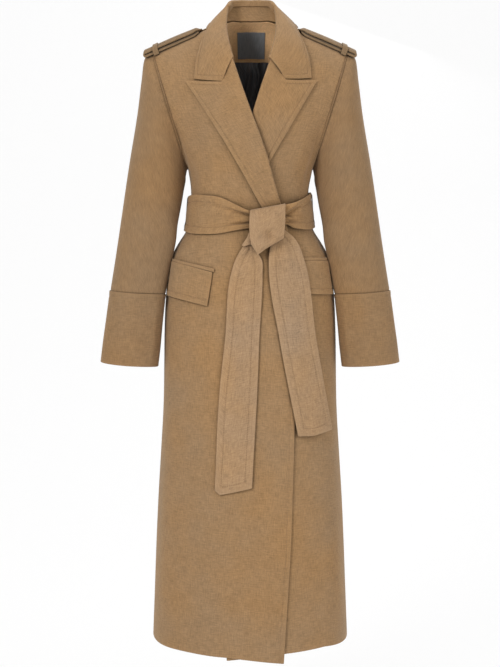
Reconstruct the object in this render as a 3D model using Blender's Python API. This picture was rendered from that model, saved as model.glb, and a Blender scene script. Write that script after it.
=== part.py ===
"""A long belted trench coat in heavy wool, worn by nobody: fronts, back, sleeves and collar are
walls of cloth around a hollow figure.  Metres, +Z up, the front faces -Y, and the wearer's left
is +X.  The origin lies midway between the two high points of the shoulders, at the neck."""

import bpy
import math
import numpy as np

for old in list(bpy.data.objects):
    bpy.data.objects.remove(old)

# ---------------------------------------------------------------- driving dimensions (metres)
CLOTH = 0.0025            # one layer of coat cloth, interfaced
THIN = 0.0012             # lining and label
SEAM = 0.0003             # gap between neighbouring pieces
SHOULDER_TRIM = 0.0012    # share of the way up left off the fronts at the shoulder seam
UNDERARM_Z = -0.287
TIP_X = 0.200             # shoulder tip
TIP_Z = -0.0525
NECK_X = 0.068            # high point of the shoulder
NECK_Z = 0.003
NECK_RISE = 0.040         # how far the body's form runs on up inside the collar
CHEST_ROUND = 2.3         # exponent of the body sections
ARM_FRONT = 0.060         # half-depths of the armhole
ARM_BACK = 0.066
LAP_LIFT = 0.0090         # how far the upper front stands off where it crosses the lapel
SKIRT_LIFT = 0.0050       # and below the belt
BELT_T = 0.0036
CHEST_FRONT = 0.118       # depths of the section at the underarm
CHEST_BACK = 0.108
CHEST_W = 0.1275

# body sections: height, half width, depth in front, depth behind
BODY = (
    (-0.287, 0.1275, 0.118, 0.108),
    (-0.332, 0.1205, 0.110, 0.102),
    (-0.380, 0.1225, 0.105, 0.098),
    (-0.417, 0.1320, 0.108, 0.103),
    (-0.437, 0.1450, 0.112, 0.109),
    (-0.456, 0.1562, 0.115, 0.114),
    (-0.476, 0.1650, 0.118, 0.119),
    (-0.510, 0.1700, 0.121, 0.124),
    (-0.560, 0.1748, 0.125, 0.129),
    (-0.610, 0.1770, 0.128, 0.132),
    (-0.685, 0.1788, 0.132, 0.136),
    (-0.770, 0.1812, 0.137, 0.141),
    (-0.875, 0.1866, 0.144, 0.148),
    (-0.980, 0.1923, 0.151, 0.155),
    (-1.080, 0.1968, 0.157, 0.161),
    (-1.195, 0.2008, 0.162, 0.167),
    (-1.300, 0.2043, 0.166, 0.172),
)
# soft flares of the skirt: place round the body (0 front, 1 side, 2 back), half width, top, depth
FLARES = (
    (-0.62, 0.22, -0.60, 0.0050),
    (0.66, 0.24, -0.62, 0.0055),
    (1.25, 0.26, -0.55, 0.0080),
    (1.70, 0.24, -0.60, 0.0085),
    (2.22, 0.26, -0.58, 0.0080),
    (2.74, 0.25, -0.56, 0.0085),
)
# front edge of the upper (right) front: height, x.  Neck, roll line, then the lap edge
EDGE_RIGHT = (
    (0.003, -0.0680),
    (-0.030, -0.0480),
    (-0.0696, -0.0358),
    (-0.1833, 0.0030),
    (-0.2309, 0.0212),
    (-0.2785, 0.0368),
    (-0.3137, 0.0460),
    (-0.3590, 0.0605),
    (-0.4200, 0.0760),
    (-0.5000, 0.0860),
    (-0.6500, 0.0900),
    (-0.7830, 0.0893),
    (-0.9484, 0.0849),
    (-1.0384, 0.0818),
    (-1.1842, 0.0727),
    (-1.2779, 0.0673),
)
# front edge of the lower (left) front
EDGE_LEFT = (
    (0.003, 0.0680),
    (-0.030, 0.0520),
    (-0.0696, 0.0425),
    (-0.1833, 0.0055),
    (-0.2309, -0.0140),
    (-0.2785, -0.0300),
    (-0.3137, -0.0400),
    (-0.3590, -0.0480),
    (-0.4200, -0.0530),
    (-0.6500, -0.0560),
    (-1.0384, -0.0520),
    (-1.2700, -0.0460),
)
# hem height against x
HEM_RIGHT = ((-0.205, -1.2620), (-0.150, -1.2625), (-0.040, -1.2680), (0.068, -1.2780))
HEM_LEFT = ((-0.047, -1.2690), (0.072, -1.2600), (0.150, -1.2560), (0.205, -1.2640))
HEM_BACK_Z = -1.262
# sleeve rings: outer x, z, inner x, z, half-depth in front, behind, centre y
SLEEVE = (
    (0.2000, -0.0525, 0.1275, -0.2870, 0.060, 0.066, 0.000, 0.000),
    (0.2155, -0.0660, 0.1300, -0.2930, 0.064, 0.068, 0.000, 0.000),
    (0.2225, -0.1100, 0.1325, -0.3080, 0.066, 0.067, -0.002, 0.000),
    (0.2310, -0.1750, 0.1360, -0.3310, 0.065, 0.065, -0.005, 0.000),
    (0.2440, -0.2560, 0.1430, -0.3720, 0.062, 0.062, -0.010, 0.002),
    (0.2590, -0.3570, 0.1570, -0.4360, 0.058, 0.058, -0.015, 0.010),
    (0.2740, -0.4570, 0.1695, -0.4950, 0.054, 0.054, -0.020, 0.011),
    (0.2870, -0.5375, 0.1780, -0.5450, 0.051, 0.051, -0.024, 0.008),
)
CUFF = (
    (0.2885, -0.5384, 0.1768, -0.5459, 0.0525, 0.0525, -0.024, 0.008),
    (0.2970, -0.6000, 0.1815, -0.6070, 0.0530, 0.0530, -0.026, 0.006),
    (0.3030, -0.6420, 0.1845, -0.6500, 0.0525, 0.0525, -0.028, 0.006),
    (0.3080, -0.6830, 0.1895, -0.6920, 0.0515, 0.0515, -0.030, 0.006),
)


# ---------------------------------------------------------------- tools
def curve(rows, col, at, key=0):
    """Smooth reading of one column of a table against its key column."""
    k = np.array([r[key] for r in rows], float)
    f = np.array([r[col] for r in rows], float)
    if k[0] > k[-1]:
        k, f = k[::-1], f[::-1]
    slope = np.gradient(f, k)
    at = np.clip(np.asarray(at, float), k[0], k[-1])
    i = np.clip(np.searchsorted(k, at) - 1, 0, len(k) - 2)
    h = k[i + 1] - k[i]
    q = (at - k[i]) / h
    a = (1 + 2 * q) * (1 - q) ** 2 * f[i] + q * (1 - q) ** 2 * h * slope[i]
    return a + q * q * (3 - 2 * q) * f[i + 1] - q * q * (1 - q) * h * slope[i + 1]


def soft(q):
    q = np.clip(q, 0.0, 1.0)
    return q * q * (3 - 2 * q)


def unit(v):
    return v / np.maximum(np.linalg.norm(v, axis=-1, keepdims=True), 1e-12)


def shoulder_z(x):
    """Height of the shoulder line at distance x from the centre, and the neck's rise inside it."""
    x = np.abs(x)
    line = NECK_Z - (x - NECK_X) * (NECK_Z - TIP_Z) / (TIP_X - NECK_X)
    return np.where(x < NECK_X, NECK_Z + NECK_RISE * (1 - (x / NECK_X) ** 2), line)


def body(u, v, behind=False):
    """A point of the coat's body.  u goes round: 0 centre front, 1 side, 2 centre back.  v is
    metres below the underarm where negative, and the share of the way up to the shoulder above."""
    u, v = np.broadcast_arrays(np.asarray(u, float), np.asarray(v, float))
    s, c = np.sin(u * math.pi / 2), np.abs(np.cos(u * math.pi / 2))
    rho = np.sign(s) * np.abs(s) ** (2 / CHEST_ROUND)
    low, t = np.minimum(v, 0.0), np.clip(v, 0.0, 1.0)
    z = UNDERARM_Z + low
    across = curve(BODY, 1, z)
    deep = curve(BODY, 3 if behind else 2, z)
    ring = c ** (2 / CHEST_ROUND)
    flare = sum(
        d * soft((top - z) / 0.55) * np.exp(-((((u - at + 2) % 4) - 2) / w) ** 2)
        for at, w, top, d in FLARES
    )
    wide = (1 - np.abs(rho) ** 2.6)
    if behind:
        mid, arm = CHEST_BACK * np.sqrt(1 - t**4), ARM_BACK
    else:
        mid, arm = CHEST_FRONT * np.maximum(1 - t**2.6, 0) ** (1 / 1.7), ARM_FRONT
    hole = arm * np.sqrt(np.maximum(1 - (2 * t - 1) ** 2, 0))
    keep = np.clip(1 - t / 0.25, 0, 1) ** 2
    high = mid * wide + hole * (1 - wide) + deep * keep * (ring - wide)
    y = np.where(v > 0, high, (deep + flare) * ring)
    side = across + flare * 0.5
    x = rho * np.where(v > 0, CHEST_W + (TIP_X - CHEST_W) * t, side)
    z = z + np.where(v > 0, (shoulder_z(TIP_X * rho) - UNDERARM_Z) * t, 0.0)
    return np.stack([x, y if behind else -y, z], -1)


def facing_out(u, v, behind=False):
    """The outward direction of the body at u, v."""
    u, v = np.broadcast_arrays(np.asarray(u, float), np.asarray(v, float))
    mid = 2.0 if behind else 0.0
    u1, u2 = np.clip(u - 0.004, mid - 1, mid + 1), np.clip(u + 0.004, mid - 1, mid + 1)
    v1, v2 = v - 0.004, np.minimum(v + 0.004, 0.9995)
    v1 = np.minimum(v1, v2 - 0.002)
    du = body(u2, v, behind) - body(u1, v, behind)
    dv = body(u, v2, behind) - body(u, v1, behind)
    out = unit(np.cross(du, dv))
    seam = (np.abs(np.abs(u - mid) - 1) < 1e-6) & (v <= 0)
    out[..., 1] = np.where(seam | (v > 0.9999), 0.0, out[..., 1])
    return unit(out)


def place(x, z):
    """The u, v of the front at a given x and height."""
    x, z = np.broadcast_arrays(np.asarray(x, float), np.asarray(z, float))
    rho, t = x / 0.17, np.zeros_like(x)
    for _ in range(12):
        t = np.clip((z - UNDERARM_Z) / (shoulder_z(TIP_X * rho) - UNDERARM_Z), 0, 1)
        rho = np.clip(x / (CHEST_W + (TIP_X - CHEST_W) * t), -1, 1)
    low = z < UNDERARM_Z
    rho = np.where(low, np.clip(x / curve(BODY, 1, z), -1, 1), rho)
    u = np.sign(rho) * np.arcsin(np.abs(rho) ** (CHEST_ROUND / 2)) * 2 / math.pi
    return u, np.where(low, z - UNDERARM_Z, t)


def lap(x, z):
    """How far the right front stands off the body: it crosses over the left front."""
    near = soft((np.asarray(x) + 0.135) / 0.070)
    deep = SKIRT_LIFT + (LAP_LIFT - SKIRT_LIFT) * soft((np.asarray(z) + 0.42) / 0.08)
    high = 1 - soft((np.asarray(z) + 0.17) / 0.08)
    return near * deep * high


def on_front(x, z, off, over=False):
    """The point at x and height z that stands off the front by off; over adds the lap."""
    lift = np.asarray(off + (lap(x, z) if over else 0.0))[..., None]
    at_x, at_z = np.asarray(x, float), np.asarray(z, float)
    for _ in range(4):
        u, v = place(at_x, at_z)
        p = body(u, v) + facing_out(u, v) * lift
        at_x, at_z = at_x + x - p[..., 0], at_z + z - p[..., 2]
    return p


def grid_normals(p, wrap):
    a = np.roll(p, -1, 1) - np.roll(p, 1, 1) if wrap else np.gradient(p, axis=1)
    return unit(np.cross(a, np.gradient(p, axis=0)))


def cloth(name, outer, inner, colour, wrap=False, rough=0.85):
    """A closed wall between an outer and an inner grid of points."""
    rows, cols = outer.shape[:2]
    verts = [tuple(q) for q in np.concatenate([outer.reshape(-1, 3), inner.reshape(-1, 3)])]
    n = rows * cols
    faces = []
    last = cols if wrap else cols - 1
    for i in range(rows - 1):
        for j in range(last):
            a, b = i * cols + j, i * cols + (j + 1) % cols
            c, d = b + cols, a + cols
            faces.append((a, b, c, d))
            faces.append((n + a, n + d, n + c, n + b))
    for j in range(last):
        a, b = j, (j + 1) % cols
        faces.append((a, n + a, n + b, b))
        a, b = (rows - 1) * cols + j, (rows - 1) * cols + (j + 1) % cols
        faces.append((a, b, n + b, n + a))
    if not wrap:
        for i in range(rows - 1):
            a, d = i * cols, (i + 1) * cols
            faces.append((a, d, n + d, n + a))
            a, d = a + cols - 1, d + cols - 1
            faces.append((a, n + a, n + d, d))
    solid(name, verts, faces, colour, rough)


def solid(name, verts, faces, colour, rough=0.85):
    p = np.array(verts)
    volume = 0.0
    for f in faces:
        for k in range(1, len(f) - 1):
            volume += np.dot(p[f[0]], np.cross(p[f[k]], p[f[k + 1]]))
    if volume < 0:
        faces = [tuple(reversed(f)) for f in faces]
    mesh = bpy.data.meshes.new(name)
    mesh.from_pydata(verts, [], faces)
    mesh.update()
    obj = bpy.data.objects.new(name, mesh)
    bpy.context.collection.objects.link(obj)
    mat = bpy.data.materials.new(name)
    mat.use_nodes = True
    shader = mat.node_tree.nodes["Principled BSDF"]
    shader.inputs["Base Color"].default_value = (*colour, 1.0)
    shader.inputs["Roughness"].default_value = rough
    shader.inputs["Metallic"].default_value = 0.0
    mat.diffuse_color = (*colour, 1.0)
    mesh.materials.append(mat)
    return obj


CAMEL = (0.34, 0.20, 0.10)
CAMEL_DARK = (0.27, 0.15, 0.07)
BLACK = (0.012, 0.011, 0.010)


def spaced(n):
    """n + 1 shares from 0 to 1, closer at both ends."""
    return (1 - np.cos(np.linspace(0, math.pi, n + 1))) / 2


# ---------------------------------------------------------------- fronts and back
# rows of the skirt and waist above the hem, below the underarm
LOW_Z = (-1.19, -1.07, -0.95, -0.83, -0.71, -0.61, -0.53, -0.476, -0.45, -0.425, -0.395, -0.35, -0.31)
UNDERARM_ROW = len(LOW_Z) + 1


def column_heights(hem):
    """Rows of one column: a list of v from the hem to the underarm."""
    return np.array([hem - UNDERARM_Z] + [z - UNDERARM_Z for z in LOW_Z] + [0.0])


def front(name, side, edge, hem, over):
    """One front, from its front edge to the side seam and the armhole."""
    inner_cols = 9
    v_high = spaced(10)[1:]
    rows = []
    heights = np.concatenate([column_heights(hem[0][1]), v_high])
    for k, probe in enumerate(heights):
        u_edge = 0.0
        for _ in range(14):
            z = float(body(u_edge, min(probe, 1.0))[2])
            if k == 0:
                z = float(np.interp(curve(edge, 1, -1.27), [h[0] for h in hem], [h[1] for h in hem]))
            x = float(curve(edge, 1, z))
            if over:
                x -= float(facing_out(u_edge, min(probe, 1.0))[0] * lap(x, z))
            if probe > 0:
                wide = CHEST_W + (TIP_X - CHEST_W) * probe
            else:
                wide = float(curve(BODY, 1, z))
            rho = np.clip(x / wide, -1, 1)
            u_edge = float(np.sign(rho) * math.asin(abs(rho) ** (CHEST_ROUND / 2)) * 2 / math.pi)
        end = side * (1 - SEAM * 0.6 / 0.20)
        u = u_edge + (end - u_edge) * np.linspace(0, 1, inner_cols + 1) ** 0.92
        v = np.full_like(u, probe)
        if k == 0:
            x0 = body(u, v)[:, 0]
            v = np.interp(x0, [h[0] for h in hem], [h[1] for h in hem]) - UNDERARM_Z
        if k == len(heights) - 1:
            v = v - SHOULDER_TRIM
        rows.append((u, v))
    u = np.array([r[0] for r in rows])
    v = np.array([r[1] for r in rows])
    p, out = body(u, v), facing_out(u, v)
    out[-1, :, 1] = 0.0
    out[: UNDERARM_ROW + 1, -1, 1] = 0.0
    out = unit(out)
    if over:
        p = p + out * lap(p[..., 0], p[..., 2])[..., None]
    cloth(name, p, p - out * CLOTH, CAMEL)


front("front_right", -1, EDGE_RIGHT, HEM_RIGHT, True)
front("front_left", 1, EDGE_LEFT, HEM_LEFT, False)

# back neck: distance from the centre, share of the way up to the form's top
BACK_NECK = ((0.0, 0.925), (0.02, 0.9317), (0.04, 0.9472), (0.058, 0.9754), (0.066, 0.9940),
             (0.072, 0.9988), (0.21, 0.9988))
BACK_RISE = (0.06, 0.16, 0.30, 0.45, 0.60, 0.72, 0.83, 0.91, 0.96, 0.985, 1.0)
BACK_COLS = 16


def back_grid():
    """Points and outward directions of the back, hem to neck, left side seam to right."""
    trim = SEAM * 0.6 / 0.21
    u = 1 + 2 * (trim / 2 + (1 - trim) * np.linspace(0, 1, BACK_COLS + 1))
    s = np.sin(u * math.pi / 2)
    rho = np.sign(s) * np.abs(s) ** (2 / CHEST_ROUND)
    top = curve(BACK_NECK, 1, np.abs(rho) * TIP_X)
    rows = [np.full_like(u, a) for a in column_heights(HEM_BACK_Z)]
    rows += [top * t for t in BACK_RISE]
    v = np.array(rows)
    uu = np.broadcast_to(u, v.shape)
    p, out = body(uu, v, True), facing_out(uu, v, True)
    collar_free = np.abs(rho) * TIP_X < NECK_X - 0.004
    out[-1, ~collar_free, 1] = 0.0
    out[: UNDERARM_ROW + 1, 0, 1] = 0.0
    out[: UNDERARM_ROW + 1, -1, 1] = 0.0
    return p, unit(out)


BACK_P, BACK_N = back_grid()
BACK_MIDDLE = BACK_COLS // 2
for side, word in ((-1, "right"), (1, "left")):
    half = slice(0, BACK_MIDDLE + 1) if side > 0 else slice(BACK_MIDDLE, None)
    p, n = BACK_P[:, half].copy(), BACK_N[:, half]
    p[:, -1 if side > 0 else 0, 0] = side * SEAM * 0.6
    cloth("back_" + word, p, p - n * CLOTH, CAMEL)


def in_back(rows, cols, off):
    """Points off the inside of the back; rows and cols may be parts of a step of its grid."""
    r, c = np.meshgrid(rows, cols, indexing="ij")
    i, j = np.floor(r).astype(int), np.floor(c).astype(int)
    i, j = np.minimum(i, BACK_P.shape[0] - 2), np.minimum(j, BACK_COLS - 1)
    a, b = (r - i)[..., None], (c - j)[..., None]
    q = BACK_P - BACK_N * off
    low = q[i, j] * (1 - b) + q[i, j + 1] * b
    return low * (1 - a) + (q[i + 1, j] * (1 - b) + q[i + 1, j + 1] * b) * a


# ---------------------------------------------------------------- sleeves and cuffs
RING_POINTS = 18
ARMHOLE_STEP = 0.0010     # how far a sleeve's top ring stands clear of the armhole


def ring(side, row, n):
    """One ring of a sleeve, its inner front swollen toward the body by the last value of its row."""
    ox, oz, ix, iz, hf, hb, yc, press = row
    phi = np.linspace(0, 2 * math.pi, n, endpoint=False)
    c, s = np.cos(phi), np.sin(phi)
    x = (ox + ix) / 2 + (ox - ix) / 2 * c - 2 * press * np.maximum(-c, 0) * np.maximum(s, 0)
    z = (oz + iz) / 2 + (oz - iz) / 2 * c
    y = yc - np.where(s > 0, hf, hb) * s
    return np.stack([side * x, y, z], -1)


def tube(name, side, rows, n, clear, colour):
    p = np.array([ring(side, r, n) for r in rows])
    if clear:
        p[0, :, 0] += side * ARMHOLE_STEP
    out = grid_normals(p, True)
    mid = p.mean(1, keepdims=True)
    if ((p - mid) * out).sum() < 0:
        out = -out
    cloth(name, p, p - out * CLOTH, colour, wrap=True)


for side, word in ((-1, "right"), (1, "left")):
    tube("sleeve_" + word, side, SLEEVE, RING_POINTS, True, CAMEL)
    tube("cuff_" + word, side, CUFF, RING_POINTS, False, CAMEL)


# ---------------------------------------------------------------- lapels, flaps and welts
def along(points, n):
    """n + 1 points evenly along a line of points."""
    p = np.array(points, float)
    d = np.concatenate([[0], np.cumsum(np.linalg.norm(np.diff(p, axis=0), axis=1))])
    q = np.linspace(0, d[-1], n + 1)
    return np.stack([np.interp(q, d, p[:, i]) for i in range(p.shape[1])], -1)


def patch(low, high, left, right, rows, cols):
    """A grid of points between four border lines (low and high run left to right)."""
    a, b = along(low, cols), along(high, cols)
    c, d = along(left, rows), along(right, rows)
    r = np.linspace(0, 1, rows + 1)[:, None, None]
    q = np.linspace(0, 1, cols + 1)[None, :, None]
    corners = (1 - r) * ((1 - q) * a[0] + q * a[-1]) + r * ((1 - q) * b[0] + q * b[-1])
    return (1 - r) * a + r * b + (1 - q) * c[:, None] + q * d[:, None] - corners


def on_panel(name, flat, low, thick, over, colour=CAMEL):
    """A piece lying on the front: flat is its grid of x and z, low how far its back stands off."""
    x, z = flat[..., 0], flat[..., 1]
    low = np.broadcast_to(low, x.shape)
    cloth(name, on_front(x, z, low + thick, over), on_front(x, z, low, over), colour)


LAPEL_THICK = 0.0030
# how far the back of each lapel stands off the front, and how much more it lifts
RIGHT_STAND, RIGHT_LIFT = 0.0016, 0.0030
LEFT_STAND, LEFT_LIFT = 0.0010, 0.0006
# lapel lines as x, z: the roll line up from the belt, and the outer edge up to the peak
ROLL_RIGHT = ((0.0590, -0.3590), (0.0450, -0.3137), (0.0358, -0.2785), (0.0202, -0.2309),
              (0.0022, -0.1833), (-0.0175, -0.1270), (-0.0368, -0.0790))
OUTER_RIGHT = ((0.0250, -0.3650), (-0.0198, -0.2882), (-0.0543, -0.2306), (-0.0932, -0.1694),
               (-0.1296, -0.1160))
TOP_RIGHT = ((-0.1296, -0.1160), (-0.0936, -0.1200), (-0.0556, -0.1225), (-0.0368, -0.0785))
ROLL_LEFT = ((-0.0010, -0.2050), (0.0066, -0.1833), (0.0245, -0.1280), (0.0430, -0.0780))
OUTER_LEFT = ((0.0335, -0.2850), (0.0880, -0.1925), (0.1335, -0.1150))
TOP_LEFT = ((0.0430, -0.0780), (0.0700, -0.1170), (0.0980, -0.1172), (0.1335, -0.1150))

grid = patch((OUTER_RIGHT[0], ROLL_RIGHT[0]), TOP_RIGHT, OUTER_RIGHT, ROLL_RIGHT, 9, 6)
stand = RIGHT_STAND + RIGHT_LIFT * soft(np.linspace(1, 0, 7))[None, :] * np.ones((10, 1))
on_panel("lapel_right", grid, stand, LAPEL_THICK, True)
grid = patch((ROLL_LEFT[0], OUTER_LEFT[0]), TOP_LEFT, ROLL_LEFT, OUTER_LEFT, 6, 6)
stand = LEFT_STAND + LEFT_LIFT * soft(np.linspace(0, 1, 7))[None, :] * np.ones((7, 1))
on_panel("lapel_left", grid, stand, LAPEL_THICK, False)

FLAP_RIGHT = ((-0.1600, -0.4765), (-0.0765, -0.4966), (-0.0868, -0.5622), (-0.1690, -0.5445))
FLAP_LEFT = ((0.1110, -0.4745), (0.1600, -0.4755), (0.1690, -0.5423), (0.1197, -0.5393))
WELT_RIGHT = ((-0.1580, -0.4715), (-0.0721, -0.4895), (-0.0728, -0.4950), (-0.1585, -0.4755))
WELT_LEFT = ((0.1080, -0.4677), (0.1580, -0.4695), (0.1585, -0.4740), (0.1080, -0.4733))
FLAP_T = 0.0030
WELT_T = 0.0028
# how far the backs of the right and the left flap stand off the front, and of the two welts
FLAP_STAND = (0.0014, 0.0010)
WELT_STAND = (0.0018, 0.0006)
FLAP_FLARE = 0.0035       # and how much more the flap's low edge stands off
FLARE_INNER = 0.35        # share of that at the edge toward the middle of the front
flare = FLAP_FLARE * np.linspace(1, 0, 5)[:, None] ** 1.5
for word, flap, welt in (("right", FLAP_RIGHT, WELT_RIGHT), ("left", FLAP_LEFT, WELT_LEFT)):
    over = word == "right"
    a, b, c, d = flap
    grid = patch((d, c), (a, b), (d, a), (c, b), 4, 6)
    outer_side = np.linspace(1, 0, 7) if over else np.linspace(0, 1, 7)
    low = FLAP_STAND[0 if over else 1] + flare * (FLARE_INNER + (1 - FLARE_INNER) * outer_side[None, :])
    on_panel("pocket_flap_" + word, grid, low, FLAP_T, over)
    a, b, c, d = welt
    grid = patch((d, c), (a, b), (d, a), (c, b), 1, 6)
    on_panel("pocket_welt_" + word, grid, WELT_STAND[0 if over else 1], WELT_T, over)


def on_back(x, z, off):
    """A point at x and height z on the back, moved out by off (inwards where negative)."""
    u, v = place(x, z)
    return body(2 - u, v, True) + facing_out(2 - u, v, True) * np.asarray(off)[..., None]


# ---------------------------------------------------------------- belt, knot and tails
# belt: place round the body, top, bottom
BELT = (
    (-2.000, -0.3430, -0.4120),
    (-1.000, -0.3454, -0.4165),
    (-0.462, -0.3444, -0.4200),
    (-0.263, -0.3491, -0.4185),
    (-0.100, -0.3640, -0.4120),
    (0.000, -0.3748, -0.4084),
    (0.150, -0.3720, -0.4060),
    (0.353, -0.3620, -0.4080),
    (0.636, -0.3500, -0.4110),
    (0.950, -0.3390, -0.4075),
    (1.200, -0.3390, -0.4070),
    (2.000, -0.3430, -0.4120),
)


BELT_GAP = 0.0022
WAIST_GAP = 0.0030        # more where the belt bridges the hollow of the waist
WAIST_Z, WAIST_HALF = -0.378, 0.022
LAP_END = (0.078, 0.045)  # where the lap under the belt ends, and over what width


def belt_stand(x, z, behind):
    """How far the belt's back stands off the body: over the lap in front, and bridging the waist."""
    bridge = BELT_GAP + WAIST_GAP * np.exp(-(((z - WAIST_Z) / WAIST_HALF) ** 2))
    cross = lap(x, z) * (1 - soft((x - LAP_END[0]) / LAP_END[1]))
    return bridge + (0.0 if behind else cross)


def belt_grid(cols, rows, extra):
    us = np.linspace(-2, 2, cols, endpoint=False)
    r = np.linspace(0, 1, rows + 1)[:, None]
    z = curve(BELT, 2, us)[None, :] * (1 - r) + curve(BELT, 1, us)[None, :] * r
    out = np.zeros((rows + 1, cols, 3))
    for j, u in enumerate(us):
        behind = abs(u) > 1
        uu = u + 4 if u < -1 else u
        p = body(np.full(rows + 1, uu), z[:, j] - UNDERARM_Z, behind)
        n = facing_out(np.full(rows + 1, uu), z[:, j] - UNDERARM_Z, behind)
        n[:, 2] *= 0.3
        out[:, j] = p + unit(n) * (belt_stand(p[:, 0], z[:, j], behind) + extra)[:, None]
    return out


BELT_COLS, BELT_ROWS = 40, 2
outer, inner = belt_grid(BELT_COLS, BELT_ROWS, BELT_T), belt_grid(BELT_COLS, BELT_ROWS, 0.0)
cloth("belt", outer, inner, CAMEL, wrap=True)

KNOT_TOP = ((0.0000, -0.3740), (0.0350, -0.3660), (0.0690, -0.3600))
KNOT_LOW = ((0.0020, -0.4420), (0.0200, -0.4600), (0.0454, -0.4420), (0.0661, -0.4290))
KNOT_SIDE = ((0.0020, -0.4420), (-0.0010, -0.4100), (0.0000, -0.3740))
KNOT_FAR = ((0.0661, -0.4290), (0.0690, -0.3950), (0.0690, -0.3600))
KNOT_LOW_OFF = 0.0095     # how far the knot's back stands off the front
KNOT_EDGE_T = 0.0050      # thickness at its edges, and how much more at its middle
KNOT_SWELL = 0.0180
grid = patch(KNOT_LOW, KNOT_TOP, KNOT_SIDE, KNOT_FAR, 6, 7)
r, q = np.linspace(0, 1, 7)[:, None], np.linspace(0, 1, 8)[None, :]
swell = np.sqrt(np.maximum(4 * r * (1 - r) * 4 * q * (1 - q), 0))
on_panel("belt_knot", grid, KNOT_LOW_OFF, KNOT_EDGE_T + KNOT_SWELL * swell, True)

LONG_SIDE = ((-0.0692, -0.9292), (-0.0584, -0.7229), (-0.0482, -0.6297), (-0.0345, -0.4933),
             (-0.0198, -0.4570), (-0.0100, -0.4260))
LONG_FAR = ((0.0024, -0.9230), (0.0147, -0.6836), (0.0167, -0.6297), (0.0233, -0.4970), (0.0233, -0.4700),
            (0.0120, -0.4260))
SHORT_SIDE = ((0.0985, -0.8220), (0.0611, -0.6297), (0.0393, -0.4830), (0.0448, -0.4260))
SHORT_FAR = ((0.1665, -0.8150), (0.1322, -0.6306), (0.1054, -0.4656), (0.0890, -0.4360), (0.0700, -0.4260))
LONG_END = ((-0.0692, -0.9292), (-0.0602, -0.9370), (0.0024, -0.9230))
SHORT_END = ((0.0985, -0.8220), (0.1300, -0.8230), (0.1665, -0.8150))
TAIL_STAND = 0.0007       # how far the belt ends' backs stand off the front at their foot
TAIL_RISE = 0.0020        # and how much more under the knot
TAIL_COLS = 4
for word, low_line, near, far, n in (
    ("long", LONG_END, LONG_SIDE, LONG_FAR, 14),
    ("short", SHORT_END, SHORT_SIDE, SHORT_FAR, 12),
):
    grid = patch(low_line, (near[-1], far[-1]), near, far, n, TAIL_COLS)
    lift = TAIL_STAND + TAIL_RISE * np.linspace(0, 1, n + 1)[:, None] * np.ones((1, TAIL_COLS + 1))
    on_panel("belt_tail_" + word, grid, lift, BELT_T, True)

# belt loops: height, and how far the strap's inside stands off the side seam there
LOOP = (
    (-0.4260, 0.0014),
    (-0.4220, 0.0058),
    (-0.4160, 0.0086),
    (-0.3960, 0.0102),
    (-0.3760, 0.0106),
    (-0.3550, 0.0101),
    (-0.3405, 0.0091),
    (-0.3345, 0.0014),
)
LOOP_HALF = 0.004
LOOP_T = 0.0016

for side, word in ((-1, "right"), (1, "left")):
    zs, lift = np.array(LOOP).T
    x = curve(BODY, 1, zs)
    if side < 0:
        lift = lift + lap(-x, zs)
    grids = []
    for off in (lift + LOOP_T, lift):
        lines = [np.stack([side * (x + off), np.full(len(zs), y), zs], -1) for y in (-LOOP_HALF, LOOP_HALF)]
        grids.append(np.stack(lines, 1))
    cloth("belt_loop_" + word, grids[0], grids[1], CAMEL_DARK)


# ---------------------------------------------------------------- collar, stand and neck
# place round the neck from the centre back to the front end; fold x, y, z; outer edge x, z
FALL = (
    (0.00, 0.0000, 0.0660, 0.0612, 0.0000, -0.0220),
    (0.20, 0.0255, 0.0595, 0.0606, 0.0480, -0.0220),
    (0.38, 0.0440, 0.0385, 0.0548, 0.0790, -0.0200),
    (0.50, 0.0478, 0.0150, 0.0440, 0.0875, -0.0050),
    (0.60, 0.0495, -0.0120, 0.0250, 0.0925, -0.0240),
    (0.72, 0.0495, -0.0480, -0.0060, 0.1000, -0.0440),
    (0.82, 0.0460, -0.0760, -0.0330, 0.1085, -0.0780),
    (0.90, 0.0415, -0.0900, -0.0530, 0.1115, -0.1120),
    (0.95, 0.0390, -0.0965, -0.0640, 0.0840, -0.1138),
    (1.00, 0.0362, -0.1010, -0.0715, 0.0554, -0.1160),
)
# the left side of the collar stands further out: place, fold x, edge x, edge z
LEFT_SHIFT = (
    (0.00, 0.0000, 0.0000, 0.0000),
    (0.20, 0.0010, 0.0010, 0.0000),
    (0.38, 0.0040, 0.0040, 0.0000),
    (0.50, 0.0055, 0.0080, 0.0000),
    (0.60, 0.0055, 0.0105, 0.0000),
    (0.90, 0.0062, 0.0105, 0.0020),
    (0.95, 0.0062, 0.0125, 0.0035),
    (1.00, 0.0062, 0.0155, 0.0050),
)
SIDE_HOLLOW = (0.47, 0.17, 0.92)     # where the fall lies close: place, half width, share
# the neck seam below the stand: place, x, y, z
NECK = (
    (0.00, 0.0000, 0.0520, 0.0195),
    (0.20, 0.0220, 0.0495, 0.0190),
    (0.38, 0.0430, 0.0410, 0.0150),
    (0.50, 0.0600, 0.0120, 0.0080),
    (0.60, 0.0590, -0.0160, -0.0040),
    (0.72, 0.0530, -0.0420, -0.0260),
    (0.82, 0.0470, -0.0600, -0.0460),
    (0.90, 0.0425, -0.0740, -0.0640),
)


def shifted(q, col):
    """The extra distance of the left side at places q; none on the right."""
    table = np.array(LEFT_SHIFT)
    return np.interp(np.clip(q, 0, 1), table[:, 0], table[:, col])


def collar_fold(q):
    x = np.sign(q) * curve(FALL, 1, np.abs(q)) + shifted(q, 1)
    return np.stack([x, curve(FALL, 2, np.abs(q)), curve(FALL, 3, np.abs(q))], -1)


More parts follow.
